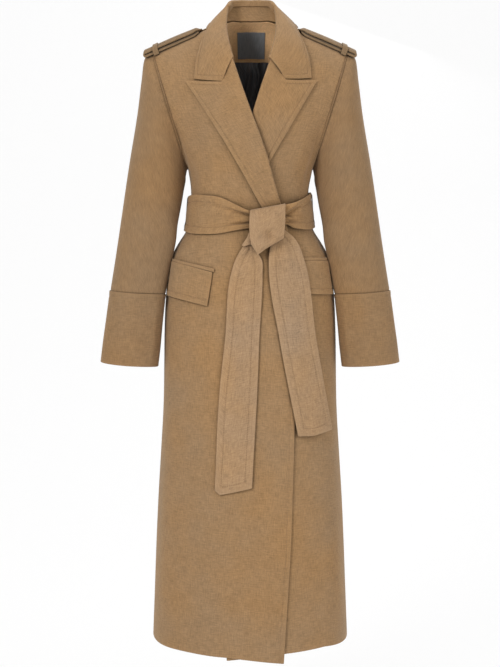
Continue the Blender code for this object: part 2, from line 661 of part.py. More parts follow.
FALL_LEAN = 0.045         # how much the fall swells upwards as it swells outwards
FALL_SWELL = 0.30         # height of that swell, as a share of the fall's width
FLAT_ENDS = (0.55, 0.70, 0.25)    # share by which it flattens toward the ends, from where, over how far


def collar_grid(places, rows, off):
    """Points of the fall: places along its fold, rows from the fold out, off above the coat at its edge."""
    fold = collar_fold(places)
    edge = []
    for q in places:
        a = abs(q)
        x = float(np.interp(a, [f[0] for f in FALL], [f[4] for f in FALL])) * np.sign(q)
        x += float(shifted(q, 2))
        z = float(np.interp(a, [f[0] for f in FALL], [f[5] for f in FALL])) + float(shifted(q, 3))
        if a < 0.50:
            edge.append(on_back(x, z, off))
        elif a > 0.50:
            edge.append(on_front(x, z, off, q < 0))
        else:
            edge.append(np.array([x, 0.0, float(shoulder_z(x)) + off]))
    edge = np.array(edge)
    r = np.linspace(0, 1, rows + 1)[:, None, None]
    away = unit(np.stack([fold[:, 0], fold[:, 1] * 0.8, np.full(len(places), FALL_LEAN)], -1))
    close, width, share = SIDE_HOLLOW
    less, start, span = FLAT_ENDS
    full = 1 - less * soft((np.abs(places) - start) / span)
    full = full - share * np.exp(-(((np.abs(places) - close) / width) ** 2))
    swell = FALL_SWELL * np.linalg.norm(edge - fold, axis=-1, keepdims=True) * full[:, None]
    return fold * (1 - r) + edge * r + away * swell * r * (1 - r) * 1.7


half = np.array([0, 0.12, 0.25, 0.38, 0.45, 0.50, 0.56, 0.64, 0.72, 0.78, 0.85, 0.90, 1.0])
places = np.concatenate([-half[:0:-1], half])
COLLAR_OFF = 0.0080       # how far the fall's edge stands above the coat
COLLAR_T = 0.0030
outer = collar_grid(places, 5, COLLAR_OFF)
out = grid_normals(outer, False)
if (out[3, len(half) - 1] * np.array([0, 1.0, 0.3])).sum() < 0:
    out = -out
cloth("collar", outer, outer - out * COLLAR_T, CAMEL)

STAND_T = 0.0024
STAND_UNDER = (0.0045, 0.0015)    # how far in from the fold the stand's top lies, and how far below
STAND_LIFT = 0.0008               # its foot's clearance above the neck seam
STAND_BOW = 0.0020                # how far its middle bows out
places = np.concatenate([-half[-4:0:-1], half[:-3]])
top = collar_fold(places)
reach = np.abs(places)
foot = np.stack([np.sign(places) * curve(NECK, 1, reach), curve(NECK, 2, reach), curve(NECK, 3, reach)], -1)
flat_out = unit(np.stack([foot[:, 0], foot[:, 1] + 0.004, 0 * foot[:, 0]], -1))
top = top - unit(top * np.array([1, 1, 0]) + np.array([0, 0.004, 0])) * STAND_UNDER[0]
top = top - np.array([0, 0, STAND_UNDER[1]])
foot = foot + np.array([0, 0, STAND_LIFT])
r = np.linspace(0, 1, 4)[:, None, None]
outer = foot * (1 - r) + top * r + flat_out * (STAND_BOW * 4 * r * (1 - r))
out = grid_normals(outer, False)
if (out[1, len(places) // 2] * np.array([0, 1.0, 0])).sum() < 0:
    out = -out
cloth("collar_stand", outer, outer - out * STAND_T, CAMEL)

FACING_T = 0.0016
LABEL_T = 0.0010
LINING_OFF = CLOTH + 0.0006
LABEL_OFF = LINING_OFF + FACING_T + 0.0009
# rows counted from the underarm's, columns from the left side seam's, in steps of the back's grid
FACING_ROWS, FACING_COLS = (5.18, 6, 7, 8, 9), (6, 7, 8, 9, 10)
LINING_ROWS, LINING_COLS = (-1.6, -1, 0, 1, 2, 3, 4, 5.12), range(3, 14)
LABEL_ROWS, LABEL_COLS = (5.37, 6, 7, 7.42), (7.32, 8, 8.55)


def inside_back(name, rows, cols, off, thick, colour, rough):
    rows, cols = UNDERARM_ROW + np.array(rows, float), np.array(cols, float)
    cloth(name, in_back(rows, cols, off), in_back(rows, cols, off + thick), colour, rough=rough)


inside_back("neck_facing", FACING_ROWS, FACING_COLS, LINING_OFF, FACING_T, CAMEL_DARK, 0.85)
inside_back("lining_back", LINING_ROWS, LINING_COLS, LINING_OFF, THIN, BLACK, 0.6)
inside_back("label", LABEL_ROWS, LABEL_COLS, LABEL_OFF, LABEL_T, BLACK, 0.5)


# ---------------------------------------------------------------- epaulettes and their keepers
STRAP_T = 0.0036
STRAP_GAP = 0.0030
STRAP_HALF = 0.0250
FALL_R = (0.034, 0.075)   # roundness of the shoulder under the strap, in front and behind
STRAP_LOW = 0.0030        # height of the lower layer's middle above the shoulder
STRAP_BEND_X = 0.209      # where the strap turns back over itself
LOW_XS = (0.1020, 0.108, 0.118, 0.135, 0.165, 0.195, STRAP_BEND_X)
HIGH_XS = (STRAP_BEND_X, 0.195, 0.165, 0.135, 0.115, 0.106, 0.0975)
BEND_ANGLES = (0.8, 1.57, 2.34)
TIP_DROP = 0.0014         # how far the upper layer's inner end dips
LOW_TIP, HIGH_TIP = (0.008, 0.018), (0.018, 0.006)    # half widths at the shaped inner ends
KEEPER_T = 0.0014
KEEPER_XS = (0.184, 0.192)
# the keeper's inside over the strap: place across the shoulder, height above it
KEEPER = (
    (-0.0292, 0.0008),
    (-0.0286, 0.0085),
    (-0.0265, 0.0124),
    (-0.0140, 0.0122),
    (0.0000, 0.0121),
    (0.0140, 0.0122),
    (0.0265, 0.0124),
    (0.0286, 0.0085),
    (0.0292, 0.0008),
)
slope = math.atan2(NECK_Z - TIP_Z, TIP_X - NECK_X)
for side, word in ((-1, "right"), (1, "left")):
    low, high = STRAP_LOW, STRAP_LOW + STRAP_T + STRAP_GAP
    middle, radius = (low + high) / 2, (high - low) / 2
    path = [(x, low) for x in LOW_XS]
    for a in BEND_ANGLES:
        path.append((STRAP_BEND_X + radius * math.sin(a), middle - radius * math.cos(a)))
    path = path + [(x, high) for x in HIGH_XS[:-1]] + [(HIGH_XS[-1], high - TIP_DROP)]
    widths = list(LOW_TIP) + [STRAP_HALF] * (len(path) - 4) + list(HIGH_TIP)
    p = np.array(path)
    d = unit(np.gradient(p, axis=0))
    normal = np.stack([d[:, 1], -d[:, 0]], -1)
    grids = []
    for off in (STRAP_T / 2, -STRAP_T / 2):
        q = p + normal * off
        grid = np.zeros((len(path), 5, 3))
        for i, w in enumerate(widths):
            y = np.linspace(-w, w, 5)
            along_x, up = q[i]
            base = NECK_Z - (along_x - NECK_X) * math.tan(slope)
            drop = y * y / (2 * np.where(y < 0, *FALL_R))
            grid[i, :, 0] = side * (along_x + up * math.sin(slope))
            grid[i, :, 1] = y
            grid[i, :, 2] = base + up * math.cos(slope) - drop
        grids.append(grid)
    cloth("epaulette_" + word, grids[0], grids[1], CAMEL)
    ys, ups = np.array(KEEPER).T
    grids = []
    for grow in (KEEPER_T, 0.0):
        grid = np.zeros((len(ys), 2, 3))
        for j, along_x in enumerate(KEEPER_XS):
            base = NECK_Z - (along_x - NECK_X) * math.tan(slope)
            y = ys * (1 + grow / STRAP_HALF)
            up = ups + grow
            up[[0, -1]] = ups[[0, -1]]
            grid[:, j, 0] = side * (along_x + up * math.sin(slope))
            grid[:, j, 1] = y
            grid[:, j, 2] = base + up * math.cos(slope) - ys**2 / (2 * np.where(ys < 0, *FALL_R))
        grids.append(grid)
    cloth("epaulette_loop_" + word, grids[0], grids[1], CAMEL_DARK)
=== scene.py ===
"""Looks of a long belted trench coat in camel wool.  Every piece of cloth is a thin shell on the
form that its CAD solid has, made finely, with its creases, seams and stitching placed one by one.
All sizes are in metres.  The wearer faces -Y, +Z is up, and x is positive on the wearer's left."""

import math
import bpy
import numpy as np
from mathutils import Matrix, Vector


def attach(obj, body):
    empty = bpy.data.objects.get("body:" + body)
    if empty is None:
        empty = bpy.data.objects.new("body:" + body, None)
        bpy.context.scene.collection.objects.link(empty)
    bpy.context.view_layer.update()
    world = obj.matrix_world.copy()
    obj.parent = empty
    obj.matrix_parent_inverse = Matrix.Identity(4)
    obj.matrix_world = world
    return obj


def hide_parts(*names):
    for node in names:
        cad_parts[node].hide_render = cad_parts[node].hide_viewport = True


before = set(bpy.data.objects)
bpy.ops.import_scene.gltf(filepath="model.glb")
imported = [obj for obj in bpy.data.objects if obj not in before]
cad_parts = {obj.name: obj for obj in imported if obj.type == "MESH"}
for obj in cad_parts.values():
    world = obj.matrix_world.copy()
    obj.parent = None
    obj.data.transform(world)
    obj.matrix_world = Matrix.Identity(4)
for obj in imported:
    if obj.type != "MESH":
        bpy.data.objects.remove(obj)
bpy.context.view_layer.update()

# ---------------------------------------------------------------- sizes shared with the CAD model
CLOTH = 0.0025
UNDERARM_Z = -0.287
TIP_X, TIP_Z = 0.2, -0.0525  # outer end of the shoulder line
NECK_X, NECK_Z = 0.068, 0.003  # its inner end
NECK_RISE = 0.04
CHEST_ROUND = 2.3  # power of the rounded section of the body
CHEST_W, CHEST_FRONT, CHEST_BACK = 0.1275, 0.118, 0.108
ARM_FRONT, ARM_BACK = 0.06, 0.066  # half depths of the armhole
LAP_LIFT, SKIRT_LIFT = 0.009, 0.005  # how far the right front stands off the left one
BELT_T = 0.0036
SIDES = ((-1, "right"), (1, "left"))

# body sections: height, half width, depth in front, depth behind
BODY = (
    (-0.287, 0.1275, 0.118, 0.108), (-0.332, 0.1205, 0.11, 0.102), (-0.38, 0.1225, 0.105, 0.098),
    (-0.417, 0.132, 0.108, 0.103), (-0.437, 0.145, 0.112, 0.109), (-0.456, 0.1562, 0.115, 0.114),
    (-0.476, 0.165, 0.118, 0.119), (-0.51, 0.17, 0.121, 0.124), (-0.56, 0.1748, 0.125, 0.129),
    (-0.61, 0.177, 0.128, 0.132), (-0.685, 0.1788, 0.132, 0.136), (-0.77, 0.1812, 0.137, 0.141),
    (-0.875, 0.1866, 0.144, 0.148), (-0.98, 0.1923, 0.151, 0.155), (-1.08, 0.1968, 0.157, 0.161),
    (-1.195, 0.2008, 0.162, 0.167), (-1.3, 0.2043, 0.166, 0.172),
)
# soft flares of the skirt: place round the body, half width, top, depth
FLARES = (
    (-0.62, 0.22, -0.6, 0.005), (0.66, 0.24, -0.62, 0.0055), (1.25, 0.26, -0.55, 0.008),
    (1.7, 0.24, -0.6, 0.0085), (2.22, 0.26, -0.58, 0.008), (2.74, 0.25, -0.56, 0.0085),
)
EDGE_RIGHT = (
    (0.003, -0.068), (-0.03, -0.048), (-0.0696, -0.0358), (-0.1833, 0.003), (-0.2309, 0.0212),
    (-0.2785, 0.0368), (-0.3137, 0.046), (-0.359, 0.0605), (-0.42, 0.076), (-0.5, 0.086), (-0.65, 0.09),
    (-0.783, 0.0893), (-0.9484, 0.0849), (-1.0384, 0.0818), (-1.1842, 0.0727), (-1.2779, 0.0673),
)
EDGE_LEFT = (
    (0.003, 0.068), (-0.03, 0.052), (-0.0696, 0.0425), (-0.1833, 0.0055), (-0.2309, -0.014),
    (-0.2785, -0.03), (-0.3137, -0.04), (-0.359, -0.048), (-0.42, -0.053), (-0.65, -0.056),
    (-1.0384, -0.052), (-1.27, -0.046),
)
HEM_RIGHT = ((-0.205, -1.261), (-0.15, -1.2615), (-0.04, -1.2662), (0.068, -1.2795))
HEM_LEFT = ((-0.047, -1.2735), (0.0, -1.2675), (0.072, -1.2605), (0.15, -1.256), (0.205, -1.2625))
HEM_BACK_Z = -1.262
# sleeve rings: outer x, z, inner x, z, half-depth in front, behind, centre y, swell of the inner front
SLEEVE = (
    (0.2, -0.0525, 0.1275, -0.287, 0.06, 0.066, 0.0, 0.0),
    (0.2155, -0.066, 0.13, -0.293, 0.064, 0.068, 0.0, 0.0),
    (0.2225, -0.11, 0.1325, -0.308, 0.066, 0.067, -0.002, 0.0),
    (0.231, -0.175, 0.136, -0.331, 0.065, 0.065, -0.005, 0.0),
    (0.244, -0.256, 0.143, -0.372, 0.062, 0.062, -0.01, 0.003),
    (0.259, -0.357, 0.157, -0.436, 0.058, 0.058, -0.015, 0.0135),
    (0.274, -0.457, 0.1695, -0.495, 0.054, 0.054, -0.02, 0.015),
    (0.287, -0.5375, 0.178, -0.545, 0.051, 0.051, -0.024, 0.013),
)
CUFF = (
    (0.2885, -0.5384, 0.1768, -0.5459, 0.0525, 0.0525, -0.024, 0.0125),
    (0.297, -0.6, 0.1815, -0.607, 0.053, 0.053, -0.026, 0.0085),
    (0.303, -0.642, 0.1845, -0.65, 0.0525, 0.0525, -0.028, 0.006),
    (0.308, -0.683, 0.1895, -0.692, 0.0515, 0.0515, -0.03, 0.006),
)

# creases of the body: from place and height, to place and height, half width, height of the ridge
# (below zero: a trough).  Places: 0 centre front, 1 wearer's left side, 2 centre back, -1 right side
BODY_FOLDS = (
    (-0.72, -0.335, -0.42, -0.215, 0.02, -0.0022),
    (-0.56, -0.34, -0.26, -0.25, 0.015, 0.0016),
    (-0.9, -0.325, -0.84, -0.2, 0.018, -0.002),
    (0.62, -0.33, 0.5, -0.215, 0.016, 0.002),
    (0.78, -0.33, 0.74, -0.2, 0.018, -0.0024),
    (0.9, -0.33, 0.93, -0.24, 0.014, 0.0016),
    (-0.62, -0.43, -0.66, -0.56, 0.02, 0.0015),
    (-0.3, -0.43, -0.33, -0.62, 0.024, -0.0014),
    (0.58, -0.43, 0.62, -0.5, 0.016, 0.0014),
    (0.84, -0.425, 0.83, -0.56, 0.02, -0.0018),
    (-0.86, -0.425, -0.84, -0.58, 0.02, -0.0018),
    (-0.45, -0.7, -0.47, -1.23, 0.045, -0.0024),
    (-0.12, -0.78, -0.1, -1.24, 0.05, 0.002),
    (0.36, -0.76, 0.4, -1.24, 0.04, -0.0022),
    (0.88, -0.7, 0.86, -1.2, 0.045, -0.0024),
    (-0.88, -0.68, -0.86, -1.21, 0.045, -0.0022),
    (1.18, -0.33, 1.3, -0.19, 0.018, -0.0026),
    (1.42, -0.335, 1.48, -0.23, 0.016, 0.0022),
    (1.66, -0.335, 1.64, -0.17, 0.02, -0.0028),
    (1.9, -0.335, 1.9, -0.24, 0.016, 0.002),
    (2.14, -0.335, 2.16, -0.18, 0.02, -0.0026),
    (2.4, -0.335, 2.36, -0.23, 0.016, 0.0022),
    (2.64, -0.335, 2.58, -0.19, 0.018, -0.0028),
    (2.86, -0.33, 2.76, -0.21, 0.016, 0.0018),
    (1.22, -0.425, 1.2, -0.64, 0.022, -0.003),
    (1.44, -0.425, 1.46, -0.56, 0.02, 0.0026),
    (1.68, -0.425, 1.66, -0.74, 0.026, -0.0032),
    (1.93, -0.425, 1.94, -0.6, 0.022, 0.0026),
    (2.17, -0.425, 2.18, -0.7, 0.026, -0.0032),
    (2.43, -0.425, 2.4, -0.56, 0.02, 0.0026),
    (2.68, -0.425, 2.7, -0.66, 0.022, -0.003),
    (1.48, -0.76, 1.46, -1.24, 0.05, -0.0036),
    (1.97, -0.72, 1.99, -1.24, 0.05, -0.004),
    (2.48, -0.78, 2.46, -1.24, 0.05, -0.0036),
)
# creases of the sleeves: angle round (0 outside, 90 front, 180 inside), share down the sleeve
SLEEVE_FOLDS = (
    (150, 0.1, 200, 0.32, 0.016, -0.001),
    (120, 0.06, 165, 0.3, 0.014, 0.001),
    (215, 0.12, 170, 0.42, 0.015, 0.0008),
    (60, 0.5, 165, 0.66, 0.017, -0.0022),
    (70, 0.6, 160, 0.74, 0.016, 0.0018),
    (300, 0.52, 210, 0.68, 0.018, -0.0028),
    (310, 0.66, 215, 0.8, 0.016, 0.0022),
    (20, 0.2, 24, 0.62, 0.026, -0.0014),
    (62, 0.22, 74, 0.5, 0.026, 0.0016),
    (285, 0.16, 275, 0.5, 0.024, 0.002),
)
CUFF_FOLDS = (
    (128, 0.04, 134, 0.97, 0.007, 0.0018),
    (112, 0.1, 118, 0.9, 0.014, -0.001),
    (40, 0.1, 36, 0.95, 0.02, -0.001),
    (240, 0.05, 232, 0.95, 0.012, 0.0018),
    (300, 0.1, 306, 0.9, 0.018, -0.0012),
)
METRES_PER_PLACE = 0.26  # along the waist, for the widths of creases
FLARE_RUN = 0.55  # height in which a flare opens fully
FLARE_WIDER = 0.5  # share of a flare's depth that goes sideways
CHEST_CORNER = 2.6  # power with which the chest's depth falls off towards the armhole
CHEST_TOP = 1.7  # and towards the shoulder
LOW_SHARE = 0.25  # share of the armhole's height that the lower section reaches into
CREASE_TOP = (0.55, 0.35)  # share of the armhole's height where creases start to fade, and the run
CREASE_BELT = (-0.378, 0.03, 0.75)  # the belt presses them: height, half width, share
LAP_SIDE = (-0.135, 0.07)  # where the right front starts to stand off: x and run
LAP_WAIST = (-0.42, 0.08)  # where its lift grows above the skirt: height and run
LAP_TOP = (-0.17, 0.08)  # and where it lies close again
CREASE_SWAY = (0.22, 5.0, 9.0)  # a crease's wander: in half widths, and its turns by share and place
CREASE_ENDS = (-0.15, 0.4, 1.15, 0.45)  # shares of it: start and run of its rise, end and run of its fall
NUDGE = 0.004  # step of u and v that slopes are measured over
LAST_SLOPE, SHOULDER_V = 0.9995, 0.9999  # v that slopes are read up to, and that the shoulder starts at
FIRST_W = 0.17  # half width that the search for a place starts with
PLACE_ROUNDS, STAND_ROUNDS, EDGE_ROUNDS = 12, 4, 16  # rounds of each search


# ---------------------------------------------------------------- tools
def joined(q, a, leave, b, arrive):
    """The smooth curve from a to b that leaves and arrives with the given slopes."""
    first = (1 + 2 * q) * (1 - q) ** 2 * a + q * (1 - q) ** 2 * leave
    return first + q * q * (3 - 2 * q) * b - q * q * (1 - q) * arrive


def curve(rows, col, at, key=0):
    """Smooth reading of one column of a table against its key column."""
    k = np.array([r[key] for r in rows], float)
    f = np.array([r[col] for r in rows], float)
    if k[0] > k[-1]:
        k, f = k[::-1], f[::-1]
    slope = np.gradient(f, k)
    at = np.clip(np.asarray(at, float), k[0], k[-1])
    i = np.clip(np.searchsorted(k, at) - 1, 0, len(k) - 2)
    h = k[i + 1] - k[i]
    return joined((at - k[i]) / h, f[i], h * slope[i], f[i + 1], h * slope[i + 1])


def soft(q):
    q = np.clip(q, 0.0, 1.0)
    return q * q * (3 - 2 * q)


def rise(at, start, run):
    """0 up to start and 1 from start + run on, with a soft step between."""
    return soft((np.asarray(at, float) - start) / run)


def bell(d, w):
    return np.exp(-((d / w) ** 2))


def unit(v):
    return v / np.maximum(np.linalg.norm(v, axis=-1, keepdims=True), 1e-12)


def graded(n, *spots):
    """n + 1 shares from 0 to 1, closer together near each spot: place, width, how much closer."""
    q = np.linspace(0, 1, 4001)
    density = np.ones_like(q) + sum(k * bell(q - at, w) for at, w, k in spots)
    total = np.concatenate([[0], np.cumsum((density[1:] + density[:-1]) / 2)])
    return np.interp(np.linspace(0, 1, n + 1), total / total[-1], q)


def crease(a, b, run):
    """Share along the line of a crease and distance from it, at a, b from its start."""
    size = np.linalg.norm(run)
    return (a * run[0] + b * run[1]) / size**2, (a * run[1] - b * run[0]) / size


def creases(a, b, table, metres_a, metres_b, turn=0.0):
    """Sum of listed ridges and troughs, with soft ends.  turn is the period of a, if any."""
    total = 0.0
    sway, by_share, by_place = CREASE_SWAY
    start, start_run, end, end_run = CREASE_ENDS
    for a0, b0, a1, b1, width, height in table:
        run = np.array([(a1 - a0) * metres_a, (b1 - b0) * metres_b])
        da = a - a0
        if turn:
            da = (da + turn / 2) % turn - turn / 2
        share, away = crease(da * metres_a, (b - b0) * metres_b, run)
        away = away + sway * width * np.sin(by_share * share + by_place * a0)
        ends = rise(share, start, start_run) * soft((end - share) / end_run)
        total = total + height * bell(away, width) * ends
    return total


def shoulder_z(x):
    x = np.abs(x)
    line = NECK_Z - (x - NECK_X) * (NECK_Z - TIP_Z) / (TIP_X - NECK_X)
    return np.where(x < NECK_X, NECK_Z + NECK_RISE * (1 - (x / NECK_X) ** 2), line)


def across(u):
    """Share of the half width at a place round the body."""
    s = np.sin(np.asarray(u, float) * math.pi / 2)
    return np.sign(s) * np.abs(s) ** (2 / CHEST_ROUND)


def place_at(rho):
    """Place round the front at a share of the half width."""
    return np.sign(rho) * np.arcsin(np.abs(rho) ** (CHEST_ROUND / 2)) * 2 / math.pi


def body(u, v, behind=False):
    """A point of the coat's body.  u: 0 centre front, 1 side, 2 centre back.  v: metres below the
    underarm where negative, and the share of the way up to the shoulder above it."""
    u, v = np.broadcast_arrays(np.asarray(u, float), np.asarray(v, float))
    rho, ring = across(u), np.abs(np.cos(u * math.pi / 2)) ** (2 / CHEST_ROUND)
    t = np.clip(v, 0.0, 1.0)
    z = UNDERARM_Z + np.minimum(v, 0.0)
    deep = curve(BODY, 3 if behind else 2, z)
    flare = sum(d * soft((top - z) / FLARE_RUN) * bell(((u - at + 2) % 4) - 2, w)
                for at, w, top, d in FLARES)
    wide = 1 - np.abs(rho) ** CHEST_CORNER
    if behind:
        mid, arm = CHEST_BACK * np.sqrt(1 - t**4), ARM_BACK
    else:
        mid, arm = CHEST_FRONT * np.maximum(1 - t**CHEST_CORNER, 0) ** (1 / CHEST_TOP), ARM_FRONT
    hole = arm * np.sqrt(np.maximum(1 - (2 * t - 1) ** 2, 0))
    low = np.clip(1 - t / LOW_SHARE, 0, 1) ** 2
    high = mid * wide + hole * (1 - wide) + deep * low * (ring - wide)
    y = np.where(v > 0, high, (deep + flare) * ring)
    below = curve(BODY, 1, z) + flare * FLARE_WIDER
    x = rho * np.where(v > 0, CHEST_W + (TIP_X - CHEST_W) * t, below)
    z = z + np.where(v > 0, (shoulder_z(TIP_X * rho) - UNDERARM_Z) * t, 0.0)
    return np.stack([x, y if behind else -y, z], -1)


def facing_out(u, v, behind=False):
    u, v = np.broadcast_arrays(np.asarray(u, float), np.asarray(v, float))
    mid = 2.0 if behind else 0.0
    u1, u2 = np.clip(u - NUDGE, mid - 1, mid + 1), np.clip(u + NUDGE, mid - 1, mid + 1)
    v2 = np.minimum(v + NUDGE, LAST_SLOPE)
    v1 = np.minimum(v - NUDGE, v2 - NUDGE / 2)
    du = body(u2, v, behind) - body(u1, v, behind)
    dv = body(u, v2, behind) - body(u, v1, behind)
    out = unit(np.cross(du, dv))
    side = (np.abs(np.abs(u - mid) - 1) < 1e-6) & (v <= 0)
    out[..., 1] = np.where(side | (v > SHOULDER_V), 0.0, out[..., 1])
    return unit(out)


def wave(u, v):
    """Soft creases of the worn coat at a place of the body, outwards in metres."""
    z = body(u, v)[..., 2]
    at, wide, share = CREASE_BELT
    pressed = 1 - share * bell(z - at, wide)
    fade = 1 - rise(v, *CREASE_TOP)
    return creases(np.asarray(u), z, BODY_FOLDS, METRES_PER_PLACE, 1.0, 4.0) * fade * pressed


def place(x, z):
    """The u, v of the front at a given x and height."""
    x, z = np.broadcast_arrays(np.asarray(x, float), np.asarray(z, float))
    rho, t = x / FIRST_W, np.zeros_like(x)
    for _ in range(PLACE_ROUNDS):
        t = np.clip((z - UNDERARM_Z) / (shoulder_z(TIP_X * rho) - UNDERARM_Z), 0, 1)
        rho = np.clip(x / (CHEST_W + (TIP_X - CHEST_W) * t), -1, 1)
    low = z < UNDERARM_Z
    rho = np.where(low, np.clip(x / curve(BODY, 1, z), -1, 1), rho)
    return place_at(rho), np.where(low, z - UNDERARM_Z, t)


def lap(x, z):
    """How far the right front stands off where it crosses over the left front."""
    lift = SKIRT_LIFT + (LAP_LIFT - SKIRT_LIFT) * rise(z, *LAP_WAIST)
    return rise(x, *LAP_SIDE) * lift * (1 - rise(z, *LAP_TOP))


def on_front(x, z, off, over=False):
    """The point at x and height z that stands off the front by off; over adds the lap."""
    lift = off + (lap(x, z) if over else 0.0)
    at_x, at_z = np.asarray(x, float), np.asarray(z, float)
    for _ in range(STAND_ROUNDS):
        u, v = place(at_x, at_z)
        p = body(u, v) + facing_out(u, v) * np.asarray(lift + wave(u, v))[..., None]
        at_x, at_z = at_x + x - p[..., 0], at_z + z - p[..., 2]
    return p


def on_back(x, z, off):
    u, v = place(x, z)
    return body(2 - u, v, True) + facing_out(2 - u, v, True) * off


def normals_towards(p, ref, wrap=False):
    """Normals of a grid, on the side that ref points to."""
    a = np.roll(p, -1, 1) - np.roll(p, 1, 1) if wrap else np.gradient(p, axis=1)
    out = unit(np.cross(a, np.gradient(p, axis=0)))
    return out if (out * np.asarray(ref, float)).sum() >= 0 else -out


def arc(p, axis):
    """Distance along the grid from its first line."""
    d = np.linalg.norm(np.diff(p, axis=axis), axis=-1)
    return np.concatenate([np.zeros_like(np.take(d, [0], axis)), np.cumsum(d, axis)], axis)


def border_distance(p):
    """Distance of every point from the low, high, left and right borders of its grid."""
    up, over = arc(p, 0), arc(p, 1)
    return {"low": up, "high": up[-1:] - up, "left": over, "right": over[:, -1:] - over}


def along(points, at, smooth=False):
    """Points of a line at the given shares of its length: with its corners kept, or as one
    smooth line through its points."""
    p = np.array(points, float)
    d = arc(p, 0)
    q = np.asarray(at) * d[-1]
    rows = np.concatenate([d[:, None], p], 1)
    read = [curve(rows, i + 1, q) if smooth else np.interp(q, d, p[:, i]) for i in range(p.shape[1])]
    return np.stack(read, -1)


def patch(low, high, left, right, rows, cols, smooth=""):
    """A grid of points between four border lines, at the given shares up and across.  smooth
    names the borders that are smooth lines: l low, h high, a left, b right."""
    lines = zip("lhab", (low, high, left, right), (cols, cols, rows, rows))
    a, b, c, d = (along(line, at, key in smooth) for key, line, at in lines)
    r, q = rows[:, None, None], cols[None, :, None]
    corners = (1 - r) * ((1 - q) * a[0] + q * a[-1]) + r * ((1 - q) * b[0] + q * b[-1])
    return (1 - r) * a + r * b + (1 - q) * c[:, None] + q * d[:, None] - corners


# ---------------------------------------------------------------- materials
class Shading:
    """The nodes of one material.  An input takes a number, a tuple or another node's output."""

    def __init__(self, tree):
        self.nodes, self.links = tree.nodes, tree.links

    def feed(self, node, inputs):
        for key, value in inputs.items():
            socket = node.inputs[key]
            if isinstance(value, bpy.types.NodeSocket):
                self.links.new(value, socket)
            else:
                socket.default_value = (*value, 1.0) if socket.type == "RGBA" else value

    def node(self, kind, inputs, out=0, **settings):
        made = self.nodes.new("ShaderNode" + kind)
        for key, value in settings.items():
            setattr(made, key, value)
        self.feed(made, inputs)
        return made.outputs[out]

    def add(self, a, b):
        return self.node("Math", {0: a, 1: b}, operation="ADD")

    def times(self, a, b):
        return self.node("Math", {0: a, 1: b}, operation="MULTIPLY")

    def mix(self, fac, a, b, how="MIX"):
        return self.node("Mix", {0: fac, 6: a, 7: b}, 2, data_type="RGBA", blend_type=how)

    def shaded(self, colour, value):
        """A colour multiplied by a value."""
        grey = self.node("CombineColor", {0: value, 1: value, 2: value})
        return self.mix(1.0, colour, grey, "MULTIPLY")

    def stretched(self, vector, scale, turn=0.0):
        return self.node("Mapping", {"Vector": vector, "Scale": scale, "Rotation": (0, 0, turn)})

    def noise(self, vector, scale, detail, rough):
        inputs = {"Vector": vector, "Scale": scale, "Detail": detail, "Roughness": rough}
        return self.node("TexNoise", inputs, "Fac")

    def bands(self, vector, period, blur):
        """Even bands across the first coordinate, one every period metres."""
        inputs = {"Vector": vector, "Scale": 2 * math.pi / 20 / period, "Distortion": blur}
        inputs.update({"Detail": 1.0, "Detail Scale": 2.0})
        return self.node("TexWave", inputs, "Fac", bands_direction="X")

    def ranged(self, value, low, high, to_low=0.0, to_high=1.0):
        inputs = {"Value": value, "From Min": low, "From Max": high, "To Min": to_low, "To Max": to_high}
        return self.node("MapRange", inputs, "Result")

    def bump(self, height, strength, distance):
        inputs = {"Height": height, "Strength": strength, "Distance": distance}
        return self.node("Bump", inputs, "Normal")


def new_material(name):
    mat = bpy.data.materials.new(name)
    mat.use_nodes = True
    return mat, Shading(mat.node_tree), mat.node_tree.nodes["Principled BSDF"]


TWILL_PITCH = 0.0017
TWILL_TURN = math.radians(52)
WORN_PALER = 1.22
# painted shade is lifted on cloth that faces sideways
SIDE_FACING = (0.7, 0.92)  # size of the normal's x from which cloth faces sideways, to fully


